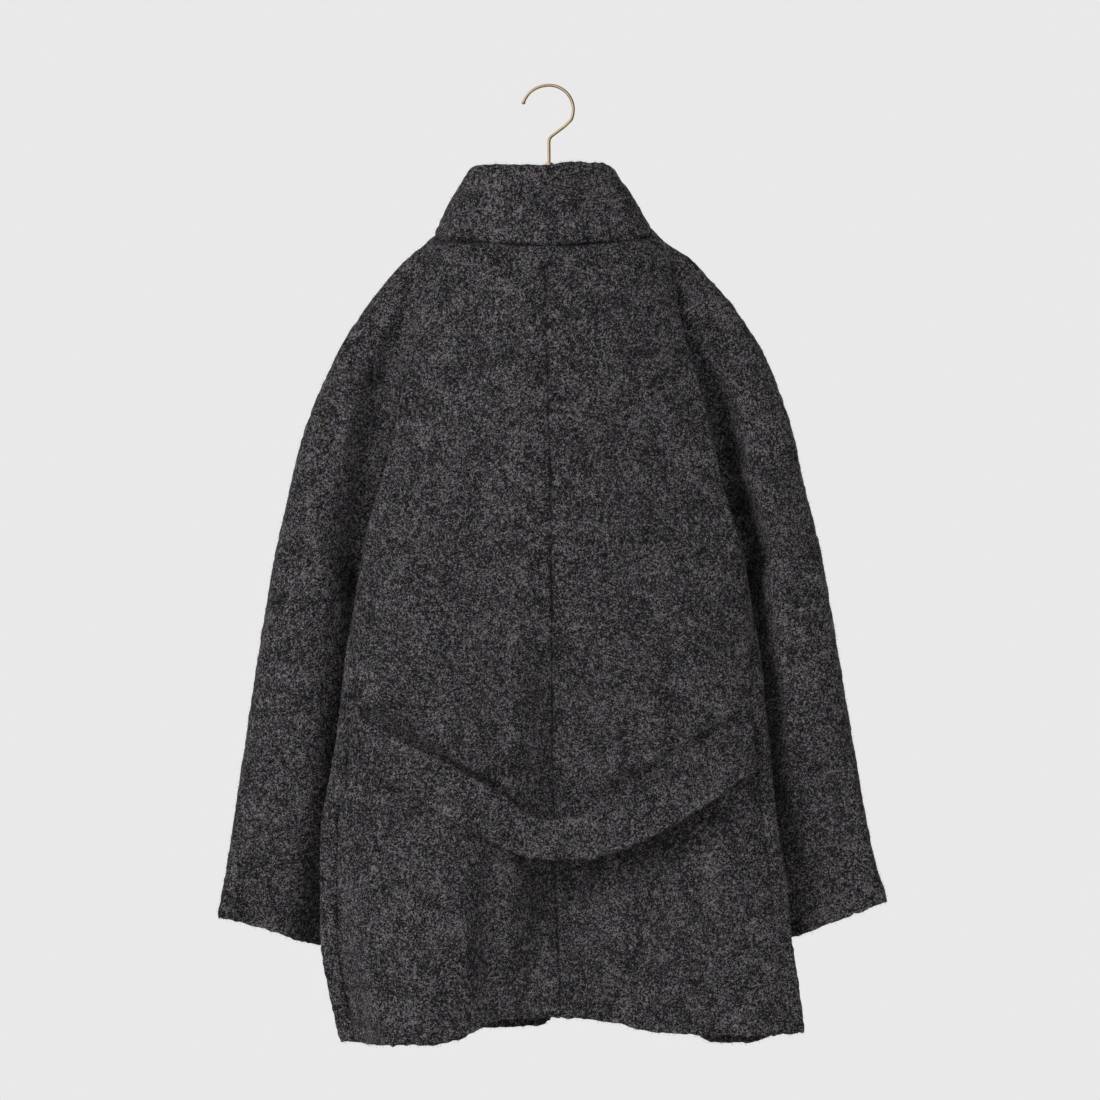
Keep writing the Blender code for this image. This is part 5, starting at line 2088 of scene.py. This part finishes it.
@dataclass(frozen=True)
class WoolFinish:
    """Boiled wool bouclé: matt, nubby, of mixed dark and pale grey fibres."""

    dark: str = "#161517"
    middle: str = "#343335"
    pale: str = "#59585b"
    fleck: str = "#9a9798"
    speckle: float = 1.8
    clump: float = 5.0
    patch: float = 24.0
    hue: float = 7.0
    fibre: float = 1.05
    curl: float = 3.2
    relief: float = 0.9
    # Near-black and strength of the painted shade along the sunk seams, where the groove is too fine for the
    # mesh to shade
    seam_dark: str = "#0c0b0d"
    seam_shade: float = 0.8
    sheen: str = "#b8b6b8"

    def material(self) -> Material:
        """Mix nubs of a few millimetres in greys with a trace of brown, plum and moss, and a dull sheen.

        Returns:
            The wool.
        """
        made, tree, shader = new_material("boiled_wool")
        place = add_node(tree, "ShaderNodeTexCoord", output="Object")
        noises = {}
        for label, size, detail, curl in (
            ("speckle", self.speckle, 2.0, 0.8),
            ("clump", self.clump, 2.0, 0.5),
            ("patch", self.patch, 2.0, 0.0),
            ("hue", self.hue, 1.0, 0.0),
            ("fibre", self.fibre, 2.0, 1.0),
            ("curl", self.curl, 1.0, 1.4),
        ):
            inputs = {"Vector": place, "Scale": per_metre(size), "Detail": detail, "Distortion": curl}
            noises[label] = add_node(tree, "ShaderNodeTexNoise", inputs=inputs)
        offset = add_node(tree, "ShaderNodeMath", {"operation": "SUBTRACT"}, {0: noises["curl"], 1: 0.5})
        beside = add_node(tree, "ShaderNodeMath", {"operation": "ABSOLUTE"}, {0: offset})
        inputs = {"Value": beside, "From Max": 0.05, "To Min": 0.12, "To Max": 0.0}
        loop = add_node(tree, "ShaderNodeMapRange", inputs=inputs)
        total = add_node(tree, "ShaderNodeMath", {"operation": "ADD"}, {0: loop, 1: noises["speckle"]})
        for label, weight in (("clump", 0.38), ("patch", 0.22), ("fibre", 0.92)):
            inputs = {0: noises[label], 1: weight, 2: total}
            total = add_node(tree, "ShaderNodeMath", {"operation": "MULTIPLY_ADD"}, inputs)
        inputs = {"Value": total, "From Min": 1.147, "From Max": 1.457}
        spread = add_node(tree, "ShaderNodeMapRange", inputs=inputs)
        greys = ((0.0, self.dark), (0.4, self.middle), (0.72, self.pale), (1.0, self.fleck))
        stops = [(at, linear(colour)) for at, colour in greys]
        grey = add_node(tree, "ShaderNodeValToRGB", {"stops": stops}, {"Fac": spread})
        casts = [
            (0.30, (1.08, 0.96, 1.08, 1.0)), (0.46, (1.01, 0.985, 1.03, 1.0)),
            (0.56, (0.98, 1.0, 1.0, 1.0)), (0.70, (1.10, 1.0, 0.93, 1.0)),
        ]
        cast = add_node(tree, "ShaderNodeValToRGB", {"stops": casts}, {"Fac": noises["hue"]})
        multiply = {"data_type": "RGBA", "blend_type": "MULTIPLY"}
        colour = add_node(tree, "ShaderNodeMix", multiply, {"Factor": 1.0, 6: grey, 7: cast}, 2)
        # Painted shade: mix towards the near-black where the seam attribute says the cloth is sunk
        seam = add_node(tree, "ShaderNodeAttribute", {"attribute_name": "seam"}, output="Fac")
        sunk = add_node(tree, "ShaderNodeMath", {"operation": "MULTIPLY"}, {0: seam, 1: self.seam_shade})
        inputs = {"Factor": sunk, 6: colour, 7: linear(self.seam_dark)}
        colour = add_node(tree, "ShaderNodeMix", {"data_type": "RGBA"}, inputs, 2)
        inputs = {0: noises["fibre"], 1: 0.45, 2: noises["speckle"]}
        height = add_node(tree, "ShaderNodeMath", {"operation": "MULTIPLY_ADD"}, inputs)
        height = add_node(tree, "ShaderNodeMath", {"operation": "ADD"}, {0: height, 1: loop})
        inputs = {"Strength": 0.85, "Distance": self.relief * MM, "Height": height}
        set_inputs(tree, shader, {
            "Base Color": colour,
            "Normal": add_node(tree, "ShaderNodeBump", inputs=inputs),
            "Roughness": 0.95,
            "Specular IOR Level": 0.15,
            "Sheen Weight": 0.12,
            "Sheen Roughness": 0.55,
            "Sheen Tint": linear(self.sheen),
        })
        return made


@dataclass(frozen=True)
class FibreFinish:
    """Single wool fibres, each of one grey between dark and pale."""

    dark: str = "#1e1a1a"
    middle: str = "#483d39"
    pale: str = "#8a7d76"

    def material(self) -> Material:
        """Give each loose fibre a grey of its own.

        Returns:
            The fibres' material.
        """
        made, tree, shader = new_material("wool_fibre")
        tone = add_node(tree, "ShaderNodeAttribute", {"attribute_name": "tone"}, output="Fac")
        stops = [(0.0, linear(self.dark)), (0.65, linear(self.middle)), (1.0, linear(self.pale))]
        colour = add_node(tree, "ShaderNodeValToRGB", {"stops": stops}, {"Fac": tone})
        set_inputs(tree, shader, {"Base Color": colour, "Roughness": 0.8, "Specular IOR Level": 0.2})
        return made


@dataclass(frozen=True)
class BrassFinish:
    """Satin brass wire, lightly rubbed."""

    bright: str = "#f2d9b8"
    dull: str = "#dcbd96"
    grain: float = 14.0

    def material(self) -> Material:
        """Mix a pale gold with a soft highlight and faint dull patches from handling.

        Returns:
            The brass.
        """
        made, tree, shader = new_material("satin_brass_wire")
        place = add_node(tree, "ShaderNodeTexCoord", output="Object")
        inputs = {"Vector": place, "Scale": per_metre(self.grain), "Detail": 4.0}
        worn = add_node(tree, "ShaderNodeTexNoise", inputs=inputs)
        stops = [(0.35, linear(self.dull)), (0.6, linear(self.bright))]
        colour = add_node(tree, "ShaderNodeValToRGB", {"stops": stops}, {"Fac": worn})
        rough = add_node(tree, "ShaderNodeMapRange", inputs={"Value": worn, "To Min": 0.16, "To Max": 0.1})
        set_inputs(tree, shader, {"Base Color": colour, "Roughness": rough, "Metallic": 1.0})
        return made


@dataclass(frozen=True)
class WoodFinish:
    """Turned wood with its grain along x."""

    name: str
    dark: str
    pale: str
    ring: float
    roughness: float
    coat: float
    stretch: Place = (0.08, 1.0, 1.0)
    pore: float = 0.6

    def material(self) -> Material:
        """Mix long grain lines with short darker pores and a thin coat of oil or lacquer.

        Returns:
            The wood.
        """
        made, tree, shader = new_material(self.name)
        place = add_node(tree, "ShaderNodeTexCoord", output="Object")
        grain = add_node(tree, "ShaderNodeMapping", inputs={"Vector": place, "Scale": self.stretch})
        inputs = {"Vector": grain, "Scale": per_metre(self.ring), "Detail": 4.0, "Distortion": 0.6}
        rings = add_node(tree, "ShaderNodeTexNoise", inputs=inputs)
        inputs = {"Vector": grain, "Scale": per_metre(self.pore), "Detail": 2.0}
        pores = add_node(tree, "ShaderNodeTexNoise", inputs=inputs)
        mixed = add_node(tree, "ShaderNodeMath", {"operation": "MULTIPLY_ADD"}, {0: pores, 1: 0.4, 2: rings})
        stops = [(0.52, linear(self.dark)), (0.86, linear(self.pale))]
        inputs = {"Strength": 0.25, "Distance": 0.2 * MM, "Height": pores}
        set_inputs(tree, shader, {
            "Base Color": add_node(tree, "ShaderNodeValToRGB", {"stops": stops}, {"Fac": mixed}),
            "Normal": add_node(tree, "ShaderNodeBump", inputs=inputs),
            "Roughness": self.roughness,
            "Coat Weight": self.coat,
            "Coat Roughness": 0.25,
        })
        return made


@dataclass(frozen=True)
class CordFinish:
    """Spun cotton cord or thread."""

    name: str
    dark: str
    pale: str
    yarn: float

    def material(self) -> Material:
        """Mix a matt yarn with fine broken lines of pale fibre.

        Returns:
            The cord's material.
        """
        made, tree, shader = new_material(self.name)
        place = add_node(tree, "ShaderNodeTexCoord", output="Object")
        inputs = {"Vector": place, "Scale": per_metre(self.yarn), "Detail": 3.0}
        yarn = add_node(tree, "ShaderNodeTexNoise", inputs=inputs)
        stops = [(0.35, linear(self.dark)), (0.68, linear(self.pale))]
        inputs = {"Strength": 0.6, "Distance": 0.15 * MM, "Height": yarn}
        set_inputs(tree, shader, {
            "Base Color": add_node(tree, "ShaderNodeValToRGB", {"stops": stops}, {"Fac": yarn}),
            "Normal": add_node(tree, "ShaderNodeBump", inputs=inputs),
            "Roughness": 0.88,
            "Sheen Weight": 0.1,
        })
        return made


@dataclass(frozen=True)
class AreaLamp:
    """Soft square lamp aimed at the middle of the coat."""

    name: str
    place: Place
    size: float
    watts: float

    def build(self, target: Place) -> None:
        """Set the lamp up.

        Args:
            target: Place that it is aimed at, in metres.
        """
        data = bpy.data.lights.new(self.name, "AREA")
        data.shape = "SQUARE"
        data.size = self.size
        data.energy = self.watts
        lamp = put(self.name, data)
        lamp.location = self.place
        lamp.visible_glossy = False
        away = np.array(self.place) - np.array(target)
        flat = math.hypot(away[0], away[1])
        lamp.rotation_euler = (math.atan2(flat, away[2]), 0.0, math.atan2(away[0], -away[1]))


@dataclass
class Studio:
    """Camera, lights, pale surroundings and floor."""

    camera_place: Place = (-0.001, 4.02, -0.4655)
    lens: float = 130.9
    sensor: float = 36.0
    backdrop: str = "#e9e9e9"
    pale_way: Place = (0.5, 0.76, 0.42)
    pale_from: float = 0.42
    pale_full: float = 0.86
    fill_colour: tuple[float, float, float, float] = (1.0, 0.995, 0.985, 1.0)
    fill_light: float = 0.075
    floor_colour: str = "#dedddb"
    floor_pale: str = "#e8e7e5"
    floor_mottle: float = 3.0
    floor_radius: float = 2.4
    floor_height: float = -1.56
    floor_sides: int = 96
    floor_glow: float = 0.45
    lamp_target: Place = (0.0, 0.0, -0.45)
    lamps: tuple[AreaLamp, ...] = (
        AreaLamp("key", (2.7, 2.4, 0.6), 1.7, 62.5),
        AreaLamp("soft_side", (-2.2, 2.4, 1.7), 2.4, 31.0),
        AreaLamp("front_fill", (-1.6, -2.7, 0.7), 1.8, 68.0),
    )

    def build(self) -> None:
        """Set up everything round the coat."""
        scene = bpy.context.scene
        scene.view_settings.view_transform = "Standard"
        camera = put("camera", bpy.data.cameras.new("camera"))
        camera.data.lens = self.lens
        camera.data.sensor_width = self.sensor
        camera.location = self.camera_place
        camera.rotation_euler = (math.pi / 2.0, 0.0, math.pi)
        scene.camera = camera
        for lamp in self.lamps:
            lamp.build(self.lamp_target)
        self.surround(scene)
        self.floor()

    def surround(self, scene: Scene) -> None:
        """Set pale plain surroundings: one brightness to the camera, another as soft light.

        Polished things see them pale towards the upper left, before and behind the coat, and dark elsewhere.

        Args:
            scene: Scene that gets them.
        """
        world = bpy.data.worlds.new("pale_surround")
        scene.world = world
        world.use_nodes = True
        tree = world.node_tree
        tree.nodes.clear()
        path = add_node(tree, "ShaderNodeLightPath").node.outputs
        way = add_node(tree, "ShaderNodeTexCoord", output="Generated")
        parts = add_node(tree, "ShaderNodeSeparateXYZ", inputs={"Vector": way}).node.outputs
        depth = add_node(tree, "ShaderNodeMath", {"operation": "ABSOLUTE"}, {0: parts["Y"]})
        turned = add_node(tree, "ShaderNodeCombineXYZ", inputs={0: parts["X"], 1: depth, 2: parts["Z"]})
        dot = {"operation": "DOT_PRODUCT"}
        along = add_node(tree, "ShaderNodeVectorMath", dot, {0: turned, 1: self.pale_way}, "Value")
        inputs = {"Value": along, "From Min": self.pale_from, "From Max": self.pale_full}
        pale = add_node(tree, "ShaderNodeMapRange", inputs=inputs)
        inputs = {0: pale, 1: path["Is Glossy Ray"]}
        glossy = add_node(tree, "ShaderNodeMath", {"operation": "MULTIPLY"}, inputs)
        inputs = {0: path["Is Camera Ray"], 1: glossy}
        ray = add_node(tree, "ShaderNodeMath", {"operation": "MAXIMUM"}, inputs)
        seen = add_node(tree, "ShaderNodeBackground", inputs={"Color": linear(self.backdrop)})
        inputs = {"Color": self.fill_colour, "Strength": self.fill_light}
        light = add_node(tree, "ShaderNodeBackground", inputs=inputs)
        mixed = add_node(tree, "ShaderNodeMixShader", inputs={0: ray, 1: light, 2: seen})
        add_node(tree, "ShaderNodeOutputWorld", inputs={"Surface": mixed})

    def floor(self) -> None:
        """Lay a pale round floor well below the hem."""
        angles = ring_angles(self.floor_sides)
        radius = self.floor_radius
        ring = [(radius * math.cos(a), radius * math.sin(a), self.floor_height) for a in angles]
        mesh = bpy.data.meshes.new("floor")
        mesh.from_pydata(ring, [], [tuple(range(self.floor_sides))])
        made, tree, shader = new_material("pale_floor_paint")
        place = add_node(tree, "ShaderNodeTexCoord", output="Object")
        inputs = {"Vector": place, "Scale": self.floor_mottle}
        mottle = add_node(tree, "ShaderNodeTexNoise", inputs=inputs)
        stops = [(0.0, linear(self.floor_colour)), (1.0, linear(self.floor_pale))]
        colour = add_node(tree, "ShaderNodeValToRGB", {"stops": stops}, {"Fac": mottle})
        ray = add_node(tree, "ShaderNodeLightPath", output="Is Camera Ray")
        glow = add_node(tree, "ShaderNodeMath", {"operation": "MULTIPLY"}, {0: ray, 1: self.floor_glow})
        set_inputs(tree, shader, {
            "Base Color": colour, "Emission Color": colour, "Emission Strength": glow, "Roughness": 0.8,
        })
        mesh.materials.append(made)
        put("floor", mesh)


def main() -> None:
    """Build the coat piece by piece, then its surroundings."""
    logging.basicConfig(level=logging.INFO, format="%(message)s")
    Studio().build()
    wool = WoolFinish().material()
    nap = Nap(FibreFinish().material())
    form = BodyForm()
    arm_form = SleeveForm(form)
    body = BodyCloth(form)
    sleeves = SleeveCloth(arm_form, body)
    collar = CollarCloth(form.neck)
    belt = BeltCloth(form)
    grids = {**body.cut(), **sleeves.cut()}
    sew(grids, body.raglan_rows)
    grids["collar"] = collar.cut()
    grids["back_belt"] = belt.cut()
    cuts = {
        "back_left": body.back_cut,
        "back_right": body.back_cut,
        "front_left": body.front_cuts[0],
        "front_right": body.front_cuts[1],
        "sleeve_left": sleeves.cut_size,
        "sleeve_right": sleeves.cut_size,
        "collar": collar.cut_size,
        "back_belt": belt.cut_size,
    }
    for number, (name, grid) in enumerate(grids.items()):
        piece = grid.build(wool, name)
        fibres = nap.grow(piece, number)
        sewn_on = name in ("collar", "back_belt")
        cuts[name].declare(piece, ["back_left", "back_right"] if sewn_on else ["hanger_bar"], [fibres])
    nap.clear()
    cord = CordFinish("cotton_cord", "#131214", "#454447", 0.5).material()
    thread = CordFinish("sewing_thread", "#17161a", "#3c3b3e", 0.3).material()
    dark_wood = WoodFinish("dark_stained_wood", "#1b100a", "#4a2f1d", 2.2, 0.38, 0.3).material()
    beech = WoodFinish("oiled_beech", "#9c7650", "#c9a67c", 3.0, 0.5, 0.15).material()
    brass = BrassFinish().material()
    ToggleRow(form).build(dark_wood, cord, thread)
    Hanger(arm_form.outer_line).build(brass, beech)


if __name__ == "__main__":
    main()
